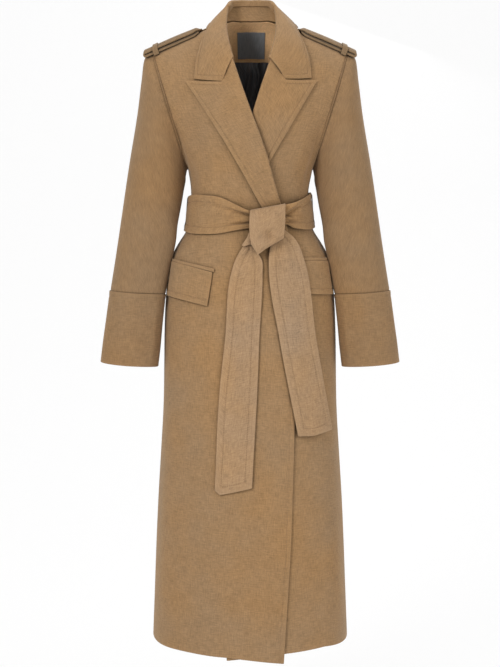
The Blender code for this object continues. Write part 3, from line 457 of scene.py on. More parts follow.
def wool(name, base, warm, cool, contrast=1.0, reach=0.026, shade_depth=0.6):
    """Brushed coat wool: mixed fibres in two directions, a low twill under the nap, a soft
    sheen, broad cloudy variation, slightly paler worn edges, and painted shade: ambient occlusion
    darkens it as far as reach into folds and under edges, save where the cloth faces sideways."""
    mat, made, bsdf = new_material(name)
    at = made.nodes.new("ShaderNodeTexCoord").outputs
    thread, room = at["UV"], at["Object"]
    broad = made.noise(room, 7.0, 3.0, 0.55)
    cloud = made.noise(room, 38.0, 3.0, 0.6)
    weft = made.noise(made.stretched(thread, (70, 420, 1)), 1.0, 3.0, 0.6)
    warp = made.noise(made.stretched(thread, (420, 70, 1)), 1.0, 3.0, 0.6)
    flecks = made.noise(thread, 950.0, 2.0, 0.6)
    heather = made.add(made.add(made.add(weft, warp), flecks), made.times(cloud, 0.4))

    colour = made.mix(made.ranged(broad, 0.35, 0.68), warm, cool)
    colour = made.mix(0.5, colour, base)
    colour = made.shaded(colour, made.ranged(heather, 1.15, 2.25, 1 - 0.34 * contrast, 1 + 0.3 * contrast))
    # painted shade: ambient occlusion darkens the colour in folds, under edges and between parts, lifted
    # where the cloth faces sideways
    occlusion_shade = made.node("AmbientOcclusion", {"Distance": reach}, "AO", samples=8)
    normal = made.node("SeparateXYZ", {0: made.node("NewGeometry", {}, "Normal")}, "X")
    sideways = made.node("Math", {0: normal}, operation="ABSOLUTE")
    painted_shade = made.add(made.ranged(occlusion_shade, 0.15, 0.85, 1 - shade_depth, 1.0),
                    made.ranged(sideways, *SIDE_FACING, 0.0, shade_depth))
    colour = made.shaded(colour, made.node("Math", {0: painted_shade, 1: 1.0}, operation="MINIMUM"))
    edge = made.node("Attribute", {}, "Fac", attribute_name="edge")
    colour = made.mix(made.times(edge, 0.3), colour, tuple(min(1.0, c * WORN_PALER) for c in base))

    twill = made.bands(made.stretched(thread, (1, 1, 1), TWILL_TURN), TWILL_PITCH, 1.2)
    nap = made.noise(room, 1500.0, 3.0, 0.7)
    height = made.add(made.add(made.times(twill, 0.3), nap), made.times(heather, 0.55))
    made.feed(bsdf, {
        "Base Color": colour,
        "Roughness": made.ranged(flecks, 0.3, 0.7, 0.86, 0.98),
        "Normal": made.bump(height, 0.42, 0.0006),
        "Sheen Weight": 0.22,
        "Sheen Roughness": 0.45,
        "Sheen Tint": (1.0, 0.86, 0.68),
        "Specular IOR Level": 0.22,
    })
    return mat


def satin(name, base, ribs, rough, lift, streak=(700, 60, 1)):
    """Smooth woven satin with fine ribs and slubs, up to lift times as pale as its base; drawn out into long
    streaks, the pale slubs are painted highlights of pleats.
    """
    mat, made, bsdf = new_material(name)
    thread = made.nodes.new("ShaderNodeTexCoord").outputs["UV"]
    slub_and_highlight = made.noise(made.stretched(thread, streak), 1.0, 3.0, 0.6)
    height = made.add(made.bands(thread, ribs, 0.4), slub_and_highlight)
    made.feed(bsdf, {
        "Base Color": made.mix(made.ranged(slub_and_highlight, 0.3, 0.7), base, tuple(c * lift for c in base)),
        "Roughness": made.ranged(slub_and_highlight, 0.3, 0.7, rough, rough + 0.14),
        "Normal": made.bump(height, 0.25, 0.0002),
        "Sheen Weight": 0.1,
        "Specular IOR Level": 0.45,
    })
    return mat


# each wool: name, its colour, a warmer and a cooler fibre, then how far into folds and how deep its painted
# shade goes
# painted shade: the coat's reaches far, so the front between the belt's ends is darkened
COAT = wool("coat_wool", (0.3, 0.18, 0.086), (0.324, 0.18, 0.072), (0.276, 0.181, 0.102),
            contrast=1.15, reach=0.042, shade_depth=0.66)
# painted shade: the sleeves' wool is a darker copy of the coat's, for the shade that falls on the sleeves
SLEEVE_WOOL_PAINTED_SHADE = wool("sleeve_wool_painted_shade", (0.262, 0.158, 0.077), (0.282, 0.158, 0.066), (0.242, 0.159, 0.09),
                   contrast=1.1, reach=0.014)
BAND = wool("band_wool", (0.312, 0.184, 0.084), (0.346, 0.183, 0.066), (0.282, 0.186, 0.104),
            contrast=1.25)
# painted shade: deeper on the belting, under the knot's edge and beside the belt's ends
BELTING = wool("belt_wool", (0.345, 0.22, 0.122), (0.376, 0.22, 0.1), (0.316, 0.221, 0.144),
               contrast=1.25, reach=0.024, shade_depth=0.78)
STRAP_WOOL = wool("strap_wool", (0.205, 0.132, 0.07), (0.225, 0.132, 0.06), (0.186, 0.133, 0.082),
                  contrast=1.5)
# painted light: the facing is far paler than the coat's wool and keeps little painted shade, so the shaded
# inside of the neck reads as lit
FACING_PAINTED_LIT = wool("facing_wool_painted_light", (0.78, 0.48, 0.245), (0.81, 0.48, 0.215), (0.75, 0.48, 0.278),
              contrast=0.9, reach=0.008, shade_depth=0.15)
TRIM = wool("trim_wool", (0.215, 0.13, 0.066), (0.225, 0.13, 0.06), (0.205, 0.13, 0.072))
THREAD = satin("thread", (0.235, 0.14, 0.068), 0.0006, 0.62, 1.15)
# painted light: the lining's base is paler than its cloth, for light that does not reach inside the coat, and
# its long pale streaks, up to 4.6 times its base, are painted highlights of its pleats
LINING = satin("lining_satin", (0.034, 0.035, 0.037), 0.0008, 0.26, 4.6, (150, 7, 1))
# painted light: the label is paler than its cloth, for light that does not reach inside the neck
LABEL = satin("label_weave", (0.16, 0.165, 0.169), 0.0007, 0.55, 1.5)


# ---------------------------------------------------------------- making cloth
RIM_STEPS = 6
RIM_UV = 0.001  # how far the weave shifts round a rim, a radian
SHARP = math.radians(50)
WEAR_REACH = 0.0035  # how far in from a free border the cloth is worn
LEAST_FLAT = 0.01
RIM_FLAT = 1.4  # what the rims add to a flat size, in thicknesses


def new_mesh(name, verts, faces, mat):
    """A smooth-shaded object."""
    mesh = bpy.data.meshes.new(name)
    mesh.from_pydata(verts, [], faces)
    mesh.polygons.foreach_set("use_smooth", [True] * len(mesh.polygons))
    mesh.materials.append(mat)
    obj = bpy.data.objects.new(name, mesh)
    bpy.context.collection.objects.link(obj)
    return obj


def mesh_object(name, verts, faces, mat, uv=None, edge=None):
    """An object of the coat, with the weave's coordinates and how worn each point is."""
    obj = new_mesh(name, verts.tolist(), faces, mat)
    mesh = obj.data
    if uv is not None:
        index = np.empty(len(mesh.loops), int)
        mesh.loops.foreach_get("vertex_index", index)
        mesh.uv_layers.new(name="cloth").data.foreach_set("uv", uv[index].astype(np.float32).ravel())
    worn = np.zeros(len(verts)) if edge is None else edge
    mesh.attributes.new("edge", "FLOAT", "POINT").data.foreach_set("value", worn.astype(np.float32))
    mesh.update()
    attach(obj, "root")
    return obj


def border_form(outer, n, rims, wrap):
    """At each point of a grid: the way off the border it is on, how far its rim is rounded, and
    how worn it is for being near a free border."""
    away, rounded = np.zeros_like(outer), np.zeros(outer.shape[:2])
    free = np.full(outer.shape[:2], 1e3)
    for (key, far), rim in zip(border_distance(outer).items(), rims):
        sideways = key in ("left", "right")
        if wrap and sideways:
            continue
        line, inside = (0, 1) if key in ("low", "left") else (-1, -2)
        at, near = ((slice(None), line), (slice(None), inside)) if sideways else (line, inside)
        away[at] += unit(outer[at] - outer[near])
        rounded[at] = np.maximum(rounded[at], rim) if sideways else rim
        if rim > 0:
            free = np.minimum(free, far)
    if not wrap:
        for i, rim in ((0, rims[0]), (-1, rims[1])):
            for j, side_rim in ((0, rims[2]), (-1, rims[3])):
                rounded[i, j] = (rim + side_rim) / 2
    away = unit(away - n * (away * n).sum(-1, keepdims=True))
    return away, rounded, np.exp(-free / WEAR_REACH)


def shell(name, outer, thick, mat, ref, wrap=False, rims=(1.0, 1.0, 1.0, 1.0)):
    """A closed wall of cloth: the outer grid, the same grid a thickness inside, and borders
    rounded as far as rims says (low, high, left, right; 0 is cut square, for a seam).  Gives the
    object, its flat width and length, and its area."""
    rows, cols = outer.shape[:2]
    count = rows * cols
    n = normals_towards(outer, ref, wrap)
    t = np.broadcast_to(np.asarray(thick, float), (rows, cols))[..., None]
    away, rounded, worn = border_form(outer, n, rims, wrap)
    index = np.arange(count).reshape(rows, cols)
    if wrap:
        loops = [index[0], index[-1][::-1]]
        a, b = index[:-1], index[1:]
        a2, b2 = np.roll(a, -1, 1), np.roll(b, -1, 1)
    else:
        loops = [np.concatenate([index[0], index[1:, -1], index[-1, -2::-1], index[-2:0:-1, 0]])]
        a, a2, b, b2 = index[:-1, :-1], index[:-1, 1:], index[1:, :-1], index[1:, 1:]
    quads = np.stack([a, a2, b2, b], -1).reshape(-1, 4)
    faces = [quads, quads[:, ::-1] + count]
    middle = outer - n * t / 2
    verts = [outer.reshape(-1, 3), (outer - n * t).reshape(-1, 3)]
    mid, up, off = (g.reshape(-1, 3) for g in (middle, n * t / 2, away * rounded[..., None] * t / 2))
    uv = np.stack([arc(outer, 1).ravel(), arc(outer, 0).ravel()], -1)
    uvs, wear = [uv, uv], [worn.ravel(), worn.ravel() * 0.5]
    base = 2 * count
    for loop in loops:
        previous = loop
        for step in range(1, RIM_STEPS + 1):
            here = loop + count
            if step < RIM_STEPS:
                turn = math.pi * step / RIM_STEPS
                verts.append(mid[loop] + up[loop] * math.cos(turn) + off[loop] * math.sin(turn))
                uvs.append(uv[loop] + turn * RIM_UV)
                wear.append(np.where(rounded.ravel()[loop] > 0, 1.0, 0.0))
                here = base + np.arange(len(loop))
                base += len(loop)
            faces.append(np.stack([previous, here, np.roll(here, -1), np.roll(previous, -1)], -1))
            previous = here
    verts, faces = np.concatenate(verts), np.concatenate(faces)
    tri = verts[faces]
    volume = sum(np.einsum("ij,ij->", tri[:, 0], np.cross(tri[:, k], tri[:, k + 1])) for k in (1, 2))
    if volume < 0:
        faces = faces[:, ::-1]
    obj = mesh_object(name, verts, faces.tolist(), mat, np.concatenate(uvs), np.concatenate(wear))
    obj.data.set_sharp_from_angle(angle=SHARP)
    flat = [arc(middle, 1)[:, -1].max(), arc(middle, 0)[-1].max()]
    if wrap:
        flat[0] = np.linalg.norm(middle - np.roll(middle, -1, 1), axis=-1).sum(1).max()
    flat = [max(LEAST_FLAT, float(s) + RIM_FLAT * float(t.mean())) for s in flat]
    skin = np.linalg.norm(np.cross(tri[:, 2] - tri[:, 0], tri[:, 3] - tri[:, 1]), axis=1).sum() / 2
    return obj, flat, min(float(skin) / 2, flat[0] * flat[1])


def cloth(name, outer, thick, mat, ref, node, wrap=False,
          rims=(1, 1, 1, 1)):
    """Makes a piece of cloth and says what it is."""
    obj, flat, area = shell(name, outer, thick, mat, ref, wrap, rims)
    if node:
        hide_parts(node)
    print("SHEET", name, "flat %.3f x %.3f m, area %.4f m2" % (*flat, area))


STITCH_PITCH = 0.0046
STITCH_LENGTH = 0.0034
STITCH_R = 0.0003
STITCH_TAPER = 0.35
STITCH_LIFT = 0.0003  # height of its middle over the cloth
STITCH_SINK = 0.00055  # how much lower its ends lie
STITCH_SIDES = 5
STITCH_RINGS = 5


def stitch_row(points, out):
    """Verts and faces of one row of thread stitches along a line on cloth."""
    d = arc(points, 0)
    count = int(d[-1] / STITCH_PITCH)
    gap = (STITCH_PITCH - STITCH_LENGTH) / 2
    start = (d[-1] - count * STITCH_PITCH) / 2 + np.arange(count) * STITCH_PITCH + gap
    s = start[:, None] + STITCH_LENGTH * np.linspace(0, 1, STITCH_RINGS)[None, :]
    at = np.stack([np.interp(s, d, points[:, i]) for i in range(3)], -1)
    up = unit(np.stack([np.interp(s, d, out[:, i]) for i in range(3)], -1))
    side = unit(np.cross(unit(at[:, -1:] - at[:, :1]), up))
    share = np.linspace(-1, 1, STITCH_RINGS)
    lift = (STITCH_LIFT - STITCH_SINK * share**2)[None, :, None]
    fat = (STITCH_R * (1 - STITCH_TAPER * share**2))[None, :, None]
    turns = [2 * math.pi * k / STITCH_SIDES for k in range(STITCH_SIDES)]
    verts = np.stack([at + up * (lift + fat * math.sin(a)) + side * fat * math.cos(a) for a in turns], 2)
    index = np.arange(count * STITCH_RINGS * STITCH_SIDES).reshape(count, STITCH_RINGS, STITCH_SIDES)
    a, b = index[:, :-1], index[:, 1:]
    quads = np.stack([a, np.roll(a, -1, 2), np.roll(b, -1, 2), b], -1).reshape(-1, 4)
    caps = np.concatenate([index[:, 0, ::-1], index[:, -1, :]])
    return verts.reshape(-1, 3), quads, caps


def stitching(name, lines):
    """One object of thread: all the rows of stitches of one piece."""
    verts, faces, base = [], [], 0
    for points, out in lines:
        v, quads, caps = stitch_row(points, out)
        verts.append(v)
        faces += (quads + base).tolist() + (caps + base).tolist()
        base += len(v)
    mesh_object(name, np.concatenate(verts), faces, THREAD)


NEARLY = 0.98  # share of its distance that a stitched line may come near another border


def trace(outer, n, far, at, key, keep_off=()):
    """A line on the grid at a distance from one border, kept clear of other borders."""
    turned = key in ("low", "high")
    p, m, dist = (g.swapaxes(0, 1) if turned else g for g in (outer, n, far[key]))
    others = [far[k].T if turned else far[k] for k in keep_off]
    points, outs = [], []
    for i in range(p.shape[0]):
        order = np.argsort(dist[i])

        def read(a):
            return np.interp(at, dist[i][order], a[i][order])

        if dist[i].max() < at or any(read(o) < at * NEARLY for o in others):
            continue
        points.append([read(p[..., k]) for k in range(3)])
        outs.append([read(m[..., k]) for k in range(3)])
    return np.array(points), np.array(outs)


GROOVE_HALF = 0.0013  # half width of the groove that a row of stitches draws in
SEAM_HALF = 0.0022  # and of the turn of the cloth into a seam
# shares of a stitched line's distance: where a groove that crosses it starts, and the run; and
# where the cloth outside the line is fullest, and half the width of that
GROOVE_START = (0.55, 0.35)
PUFF_AT = (0.5, 0.35)


def piece(name, outer, thick, mat, ref, node, wrap=False, rims=(1, 1, 1, 1),
          stitch=(), seams=(), groove=0.0007, puff=0.0004, seam_depth=0.0011):
    """A piece of cloth with its seams and stitched edges.  stitch lists border and
    distance; seams lists the borders sewn to a neighbour, where the cloth turns in."""
    n = normals_towards(outer, ref, wrap)
    far = border_distance(outer)
    off = np.zeros(outer.shape[:2])
    for key, at in stitch:
        clear = 1.0
        for other, other_at in stitch:
            if other != key:
                clear = clear * rise(far[other], other_at * GROOVE_START[0], other_at * GROOVE_START[1])
        off -= groove * bell(far[key] - at, GROOVE_HALF) * clear
        off += puff * bell(far[key] - at * PUFF_AT[0], at * PUFF_AT[1])
    for key in seams:
        off -= seam_depth * bell(far[key], SEAM_HALF)
    outer = outer + n * off[..., None]
    cloth(name, outer, thick, mat, ref, node, wrap, rims)
    n = normals_towards(outer, ref, wrap)
    lines = [trace(outer, n, far, at, key, [k for k, _ in stitch if k != key]) for key, at in stitch]
    if lines:
        stitching("stitches_" + name, lines)


# ---------------------------------------------------------------- fronts and back
CENTRE_SEAM = 0.00001  # half the slit between the two backs
SIDE_SEAM = 0.00001  # how far a panel stops short of the side, as a share of its width
FRONT, BACK = (0, -1, 0), (0, 1, 0)
HEM_BLEND_Z = -1.19  # from here down the rows turn to follow the hem
EDGE_FOOT_Z = -1.27
EDGE_STITCH = 0.009
UNDERARM_EASE = 0.04
FRONT_EASE = (0.84, 0.16)  # share of a front's width where the easing ends, and the run
BACK_EASE = 0.08  # and the same of the back, from each side
SHOULDER_SINK = 0.0012  # in shares of the armhole's height
NECK_MARGIN = 0.004
BACK_NECK = ((0.0, 0.925), (0.02, 0.933), (0.04, 0.96), (0.058, 0.983), (0.066, 0.994),
             (0.072, 0.9988), (0.21, 0.9988))


def side_rows(n_low, n_high):
    """Row heights: shares of the hem band, then v up to the underarm, then v above it."""
    hem = graded(12, (0.0, 0.1, 3.0))
    low = np.linspace(HEM_BLEND_Z - UNDERARM_Z, 0.0, n_low + 1)[1:]
    high = np.sin(np.linspace(0, math.pi / 2, n_high + 1)[1:])
    return hem, low, high


def eased(p, share):
    """Carries the rows either side of the underarm's height across it in one smooth curve."""
    z = p[:, p.shape[1] // 2, 2]
    a, b = np.searchsorted(z, (UNDERARM_Z - UNDERARM_EASE, UNDERARM_Z + UNDERARM_EASE))
    d = arc(p[a:b + 1], 0)[..., None]
    leave, arrive = unit(p[a] - p[a - 1]) * d[-1], unit(p[b + 1] - p[b]) * d[-1]
    rows = joined(d / d[-1], p[a], leave, p[b], arrive)
    made = p.copy()
    made[a:b + 1] += (rows - p[a:b + 1]) * share[None, :, None]
    return made


def front_panel(side, edge, hem, c):
    """Points of one front.  c: shares from the front edge to the side seam and armhole."""
    over = side < 0
    hem_share, low, high = side_rows(120, 46)
    k = len(hem_share)
    probe = np.concatenate([np.full(k, HEM_BLEND_Z - UNDERARM_Z), low, high])
    hem_x, hem_z = np.array(hem).T
    foot = float(np.interp(curve(edge, 1, EDGE_FOOT_Z), hem_x, hem_z))
    u_edge = np.zeros(len(probe))
    for _ in range(EDGE_ROUNDS):
        z = body(u_edge, np.minimum(probe, 1.0))[:, 2]
        z[:k] = foot + (HEM_BLEND_Z - foot) * hem_share
        x = curve(edge, 1, z)
        if over:
            x = x - facing_out(u_edge, np.minimum(probe, 1.0))[:, 0] * lap(x, z)
        wide = np.where(probe > 0, CHEST_W + (TIP_X - CHEST_W) * probe, curve(BODY, 1, z))
        u_edge = place_at(np.clip(x / wide, -1, 1))
    u = u_edge[:, None] + (side * (1 - SIDE_SEAM) - u_edge[:, None]) * c[None, :]
    v = np.repeat(probe[:, None], len(c), 1)
    foot = np.interp(body(u[:k], v[:k])[..., 0], hem_x, hem_z)
    v[:k] = foot + (HEM_BLEND_Z - foot) * hem_share[:, None] - UNDERARM_Z
    v[-1] -= SHOULDER_SINK
    p, out = body(u, v), facing_out(u, v)
    out[-1, :, 1] = 0.0
    out[: k + len(low), -1, 1] = 0.0
    off = wave(u, v)
    if over:
        off = off + lap(p[..., 0], p[..., 2])
    return eased(p + unit(out) * off[..., None], 1 - rise(c, *FRONT_EASE))


cols = graded(64, (0.036, 0.022, 5.0), (0.0, 0.012, 4.0), (1.0, 0.015, 5.0))
for (side, word), edge, hem in zip(SIDES, (EDGE_RIGHT, EDGE_LEFT), (HEM_RIGHT, HEM_LEFT)):
    piece("coat_front_" + word, front_panel(side, edge, hem, cols), CLOTH, COAT, FRONT, "front_" + word,
          rims=(1, 0, 1, 0), stitch=(("left", EDGE_STITCH),), seams=("right", "high"),
          groove=0.0005)


def back_panel():
    """Shares across the back, and points of both its panels."""
    c = graded(112, (0.0, 0.01, 4.0), (0.5, 0.01, 6.0), (1.0, 0.01, 4.0))
    u = 1 + 2 * (SIDE_SEAM / 2 + (1 - SIDE_SEAM) * c)
    x = across(u) * TIP_X
    hem_share, low, high = side_rows(120, 50)
    hem = HEM_BACK_Z + (HEM_BLEND_Z - HEM_BACK_Z) * hem_share - UNDERARM_Z
    below = np.concatenate([hem, low])
    high = np.clip(high, 0.004, 1.0)[:, None] * curve(BACK_NECK, 1, np.abs(x))[None, :]
    v = np.concatenate([np.repeat(below[:, None], len(u), 1), high])
    uu = np.broadcast_to(u, v.shape)
    p, out = body(uu, v, True), facing_out(uu, v, True)
    out[-1, np.abs(x) >= NECK_X - NECK_MARGIN, 1] = 0.0
    out[: len(below), [0, -1], 1] = 0.0
    p = p + unit(out) * wave(uu, v)[..., None]
    return c, eased(p, soft(np.minimum(c, 1 - c) / BACK_EASE))


c, whole = back_panel()
middle = np.abs(c - 0.5).argmin()
for side, word in SIDES:
    p = (whole[:, : middle + 1] if side > 0 else whole[:, middle:]).copy()
    p[:, -1 if side > 0 else 0, 0] = side * CENTRE_SEAM
    piece("coat_back_" + word, p, CLOTH, COAT, BACK, "back_" + word, rims=(1, 0, 0, 0),
          seams=("left", "right", "high"))


# ---------------------------------------------------------------- sleeves and cuffs
ROUND_COLS = 120
MEAN_R = 0.062  # radius that the widths of sleeve creases are measured at
SLEEVE_RUN, CUFF_RUN = 0.47, 0.146  # their lengths
CAP_CLEAR = (0.001, 0.0006)  # how far the first rings stand off the armhole
CREASE_FADE = (0.06, 0.03)  # shares of the length over which creases fade at the top, at the foot
SEAM_TURN = (0.001, 0.006, 0.005)  # the sleeve's turn into its seams: depth, shares at top, at cuff
CUFF_SWELL = (0.0006, 0.03)  # the cuff's upper edge stands out: height, share of its length
CUFF_NECK = (0.0006, 0.055, 0.008)  # and its stitched line lies in: depth, place, half width
# where the sleeve tucks into the cuff: metres on down the arm, metres further in
TUCK = ((0.0002, 0.0006), (0.004, 0.0012), (0.008, 0.0016))


def tube_rings(side, table, steps, fold_table, length, clear=()):
    """Rings of a sleeve or cuff with the way out and the share down at every point."""
    rows = [(i,) + r for i, r in enumerate(table)]
    k = graded(steps, (0.0, 0.02, 4.0), (1.0, 0.02, 4.0)) * (len(table) - 1)
    ox, oz, ix, iz, front, behind, yc, press = (curve(rows, i + 1, k)[:, None] for i in range(8))
    phi = np.linspace(0, 2 * math.pi, ROUND_COLS, endpoint=False)[None, :]
    c, s = np.cos(phi), np.sin(phi)
    x = (ox + ix) / 2 + (ox - ix) / 2 * c - 2 * press * np.maximum(-c, 0) * np.maximum(s, 0)
    z = (oz + iz) / 2 + (oz - iz) / 2 * c
    p = np.stack([side * x, yc - np.where(s > 0, front, behind) * s, z], -1)
    for ring, off in enumerate(clear):
        p[ring, :, 0] += side * off
    out = normals_towards(p, p - p.mean(1, keepdims=True), True)
    share = (k / (len(table) - 1))[:, None] * np.ones_like(phi)
    lift = creases(np.degrees(phi), share, fold_table, math.radians(1) * MEAN_R, length, 360.0)
    lift = lift * soft(share / CREASE_FADE[0]) * soft((1 - share) / CREASE_FADE[1])
    return p + out * lift[..., None], out, share


def tucked(p, out):
    """The sleeve's rings with its end carried on inside the cuff."""
    down = unit((p[-1] - p[-4]).mean(0))
    ends = [p[-1] + down * further - out[-1] * inwards for further, inwards in TUCK]
    return np.concatenate([p, ends]), np.concatenate([out, np.repeat(out[-1:], len(TUCK), 0)])


for side, word in SIDES:
    p, out, share = tube_rings(side, SLEEVE, 130, SLEEVE_FOLDS, SLEEVE_RUN, CAP_CLEAR)
    depth, top, foot = SEAM_TURN
    off = -depth * (bell(share, top) + bell(1 - share, foot))
    p, out = tucked(p + out * off[..., None], out)
    piece("coat_sleeve_" + word, p, CLOTH, SLEEVE_WOOL_PAINTED_SHADE, out, "sleeve_" + word,
          wrap=True, rims=(0, 0, 0, 0))
    p, out, share = tube_rings(side, CUFF, 70, CUFF_FOLDS, CUFF_RUN)
    off = CUFF_SWELL[0] * bell(share, CUFF_SWELL[1]) - CUFF_NECK[0] * bell(share - CUFF_NECK[1], CUFF_NECK[2])
    piece("coat_cuff_" + word, p + out * off[..., None], CLOTH, SLEEVE_WOOL_PAINTED_SHADE, out, "cuff_" + word,
          wrap=True, rims=(0.8, 1, 0, 0))


# ---------------------------------------------------------------- lapels, flaps and welts
LAPEL_THICK = 0.003
LAPEL_STITCH = 0.009
LAPEL_GROOVE, LAPEL_PUFF = 0.0007, 0.0005
LAPEL_RUN = 0.003  # run over which a groove of a lapel starts
PUFF_HALF = 0.0032
LAPEL_TURN = math.radians(165)  # how far round the roll the cloth is carried
GORGE_RUN = (0.04, 0.004)  # no groove this near the roll along the top, and the run after it
STITCHED_X = (-0.06, 0.07)  # the top's stitches lie beyond these, right and left
UNDER_LAP = (0.001, 0.005, 0.008)  # under the right front: height, reach past its edge, run
# each lapel's height over its front: all over, more at its outer edge, share of that lost at its top,
# more at the roll, share of its width for that, and share up it where that starts, and the run
STAND_RIGHT = (0.0016, 0.003, 0.6, 0.0035, 0.3, 0.0, 0.2)
STAND_LEFT = (0.001, 0.0012, 0.0, 0.003, 0.35, -1.0, 1.0)
STAND_FOOT, STAND_HEAD = 0.25, (0.8, 0.2)  # shares up it: the run of its rise, start and run of the loss
ROLLS = ((0.0034, 0.001), (0.0036, 0.0))  # radius of the right and the left roll at its foot, more above
ROLL_GROWS = 0.3  # share up it that the radius grows over
# the lines of each lapel from its foot up: roll and outer edge; and its top, from left to right
ROLL_RIGHT = ((0.0612, -0.368), (0.044, -0.3137), (0.0346, -0.2785), (0.0188, -0.2309),
              (0.0008, -0.1833), (-0.0188, -0.127), (-0.0366, -0.0748))
OUTER_RIGHT = ((0.029, -0.3755), (-0.0198, -0.2882), (-0.0543, -0.2306), (-0.0932, -0.1694),
               (-0.1296, -0.1152))
TOP_RIGHT = ((-0.1296, -0.1152), (-0.0936, -0.119), (-0.0556, -0.1196), (-0.0366, -0.0748))
ROLL_LEFT = ((-0.001, -0.205), (0.0066, -0.1833), (0.0245, -0.128), (0.043, -0.0757))
OUTER_LEFT = ((0.0335, -0.285), (0.088, -0.1925), (0.134, -0.1145))
TOP_LEFT = ((0.043, -0.0757), (0.0705, -0.1152), (0.098, -0.1162), (0.134, -0.1145))


def roll_over(p, n, radius, turn, steps, first):
    """The grid with extra columns that carry the cloth on over its rolled edge and under it, which
    is its first column or its last."""
    edge, near, m = (p[:, 0], p[:, 1], n[:, 0]) if first else (p[:, -1], p[:, -2], n[:, -1])
    e = edge - near
    e = unit(e - m * (e * m).sum(-1, keepdims=True))
    turn = np.broadcast_to(turn, radius.shape)[:, None]
    shares = np.linspace(0, 1, steps + 1)[1:]
    extra = [edge + (e * np.sin(turn * a) - m * (1 - np.cos(turn * a))) * radius[:, None] for a in shares]
    extra = np.stack(extra, 1)
    return np.concatenate([extra[:, ::-1], p], 1) if first else np.concatenate([p, extra], 1)


def reference(wide, n, first):
    """Which way is out on a rolled piece: that of its flat part."""
    ref = np.zeros_like(wide)
    ref[:, slice(-n.shape[1], None) if first else slice(n.shape[1])] = n
    return ref


def lapel_stand(q, r, form):
    """Height of a lapel over its front.  q: 0 at the outer edge, 1 at the roll; r: up."""
    least, at_edge, loss, at_roll, wide, start, run = form
    at_edge = at_edge * soft(1 - q) * soft(r / STAND_FOOT) * (1 - loss * rise(r, *STAND_HEAD))
    return least + at_edge + at_roll * soft(1 - (1 - q) / wide) * rise(r, start, run)


def lapel(word, roll, outer, top, stand, radius):
    """One lapel.  The outer edge is the grid's first column on the right side, its last on the left."""
    over = word == "right"
    left, right = (outer, roll) if over else (roll, outer)
    outer_key, roll_key = ("left", "right") if over else ("right", "left")
    rows = graded(90, (1.0, 0.03, 4.0), (0.93, 0.03, 3.0))
    c = graded(44, (0.1 if over else 0.9, 0.05, 4.0), (0.0, 0.03, 3.0), (1.0, 0.03, 3.0))
    grid = patch((left[0], right[0]), top, left, right, rows, c)
    x, z = grid[..., 0], grid[..., 1]
    height = lapel_stand((c if over else 1 - c)[None, :], rows[:, None], stand)
    if not over:
        low, reach, run = UNDER_LAP
        under = soft((curve(EDGE_RIGHT, 1, z) + reach - x) / run)
        height = height * (1 - under) + low * under
    p = on_front(x, z, height + LAPEL_THICK, over)
    n = normals_towards(p, FRONT)
    far = border_distance(p)
    high, side = far["high"], far[outer_key]
    gorge, start = rise(far[roll_key], *GORGE_RUN), LAPEL_STITCH * GROOVE_START[0]
    off = -LAPEL_GROOVE * bell(side - LAPEL_STITCH, GROOVE_HALF) * rise(high, start, LAPEL_RUN)
    along_top = rise(side, start, LAPEL_RUN) * gorge
    off -= LAPEL_GROOVE * bell(high - LAPEL_STITCH, GROOVE_HALF) * along_top
    rim = np.minimum(high + 0.05 * (1 - gorge), side)
    off += LAPEL_PUFF * bell(rim - LAPEL_STITCH * PUFF_AT[0], PUFF_HALF)
    p = p + n * off[..., None]
    n, far = normals_towards(p, FRONT), border_distance(p)
    points, outs = trace(p, n, far, LAPEL_STITCH, "high", (outer_key,))
    keep = points[:, 0] < STITCHED_X[0] if over else points[:, 0] > STITCHED_X[1]
    rows_of_thread = [trace(p, n, far, LAPEL_STITCH, outer_key, ("high",)), (points[keep], outs[keep])]
    stitching("stitches_lapel_" + word, rows_of_thread)
    round_it = radius[0] + radius[1] * soft(rows / ROLL_GROWS)
    wide = roll_over(p, n, round_it, LAPEL_TURN, 9, not over)
    cloth("coat_lapel_" + word, wide, LAPEL_THICK, COAT, reference(wide, n, not over), "lapel_" + word,
          rims=(0, 0.2, 1, 0.3) if over else (0, 0.2, 0.3, 1))


lapel("right", ROLL_RIGHT, OUTER_RIGHT, TOP_RIGHT, STAND_RIGHT, ROLLS[0])
lapel("left", ROLL_LEFT, OUTER_LEFT, TOP_LEFT, STAND_LEFT, ROLLS[1])

# corners of each flap and welt: upper right, upper left, lower left, lower right, as seen
FLAPS = (
    ((-0.16, -0.4765), (-0.0765, -0.4966), (-0.0868, -0.5622), (-0.169, -0.5445)),
    ((0.111, -0.4745), (0.16, -0.4755), (0.169, -0.5423), (0.1197, -0.5393)),
)
WELTS = (
    ((-0.158, -0.4715), (-0.0721, -0.4895), (-0.0728, -0.495), (-0.1585, -0.4755)),
    ((0.108, -0.4677), (0.158, -0.4695), (0.1585, -0.474), (0.108, -0.4733)),
)
FLAP_STITCH = 0.01
FLAP_THICK, WELT_THICK = 0.003, 0.0024
FLAP_STAND, WELT_STAND = (0.0014, 0.001), (0.0018, 0.0006)  # over the right and left fronts
FLAP_HANG = 0.0035  # how much further out its foot hangs
WELT_CROWN = 0.0006


def cornered(corners, rows, cols):
    a, b, c, d = corners
    return np.moveaxis(patch((d, c), (a, b), (d, a), (c, b), rows, cols), -1, 0)


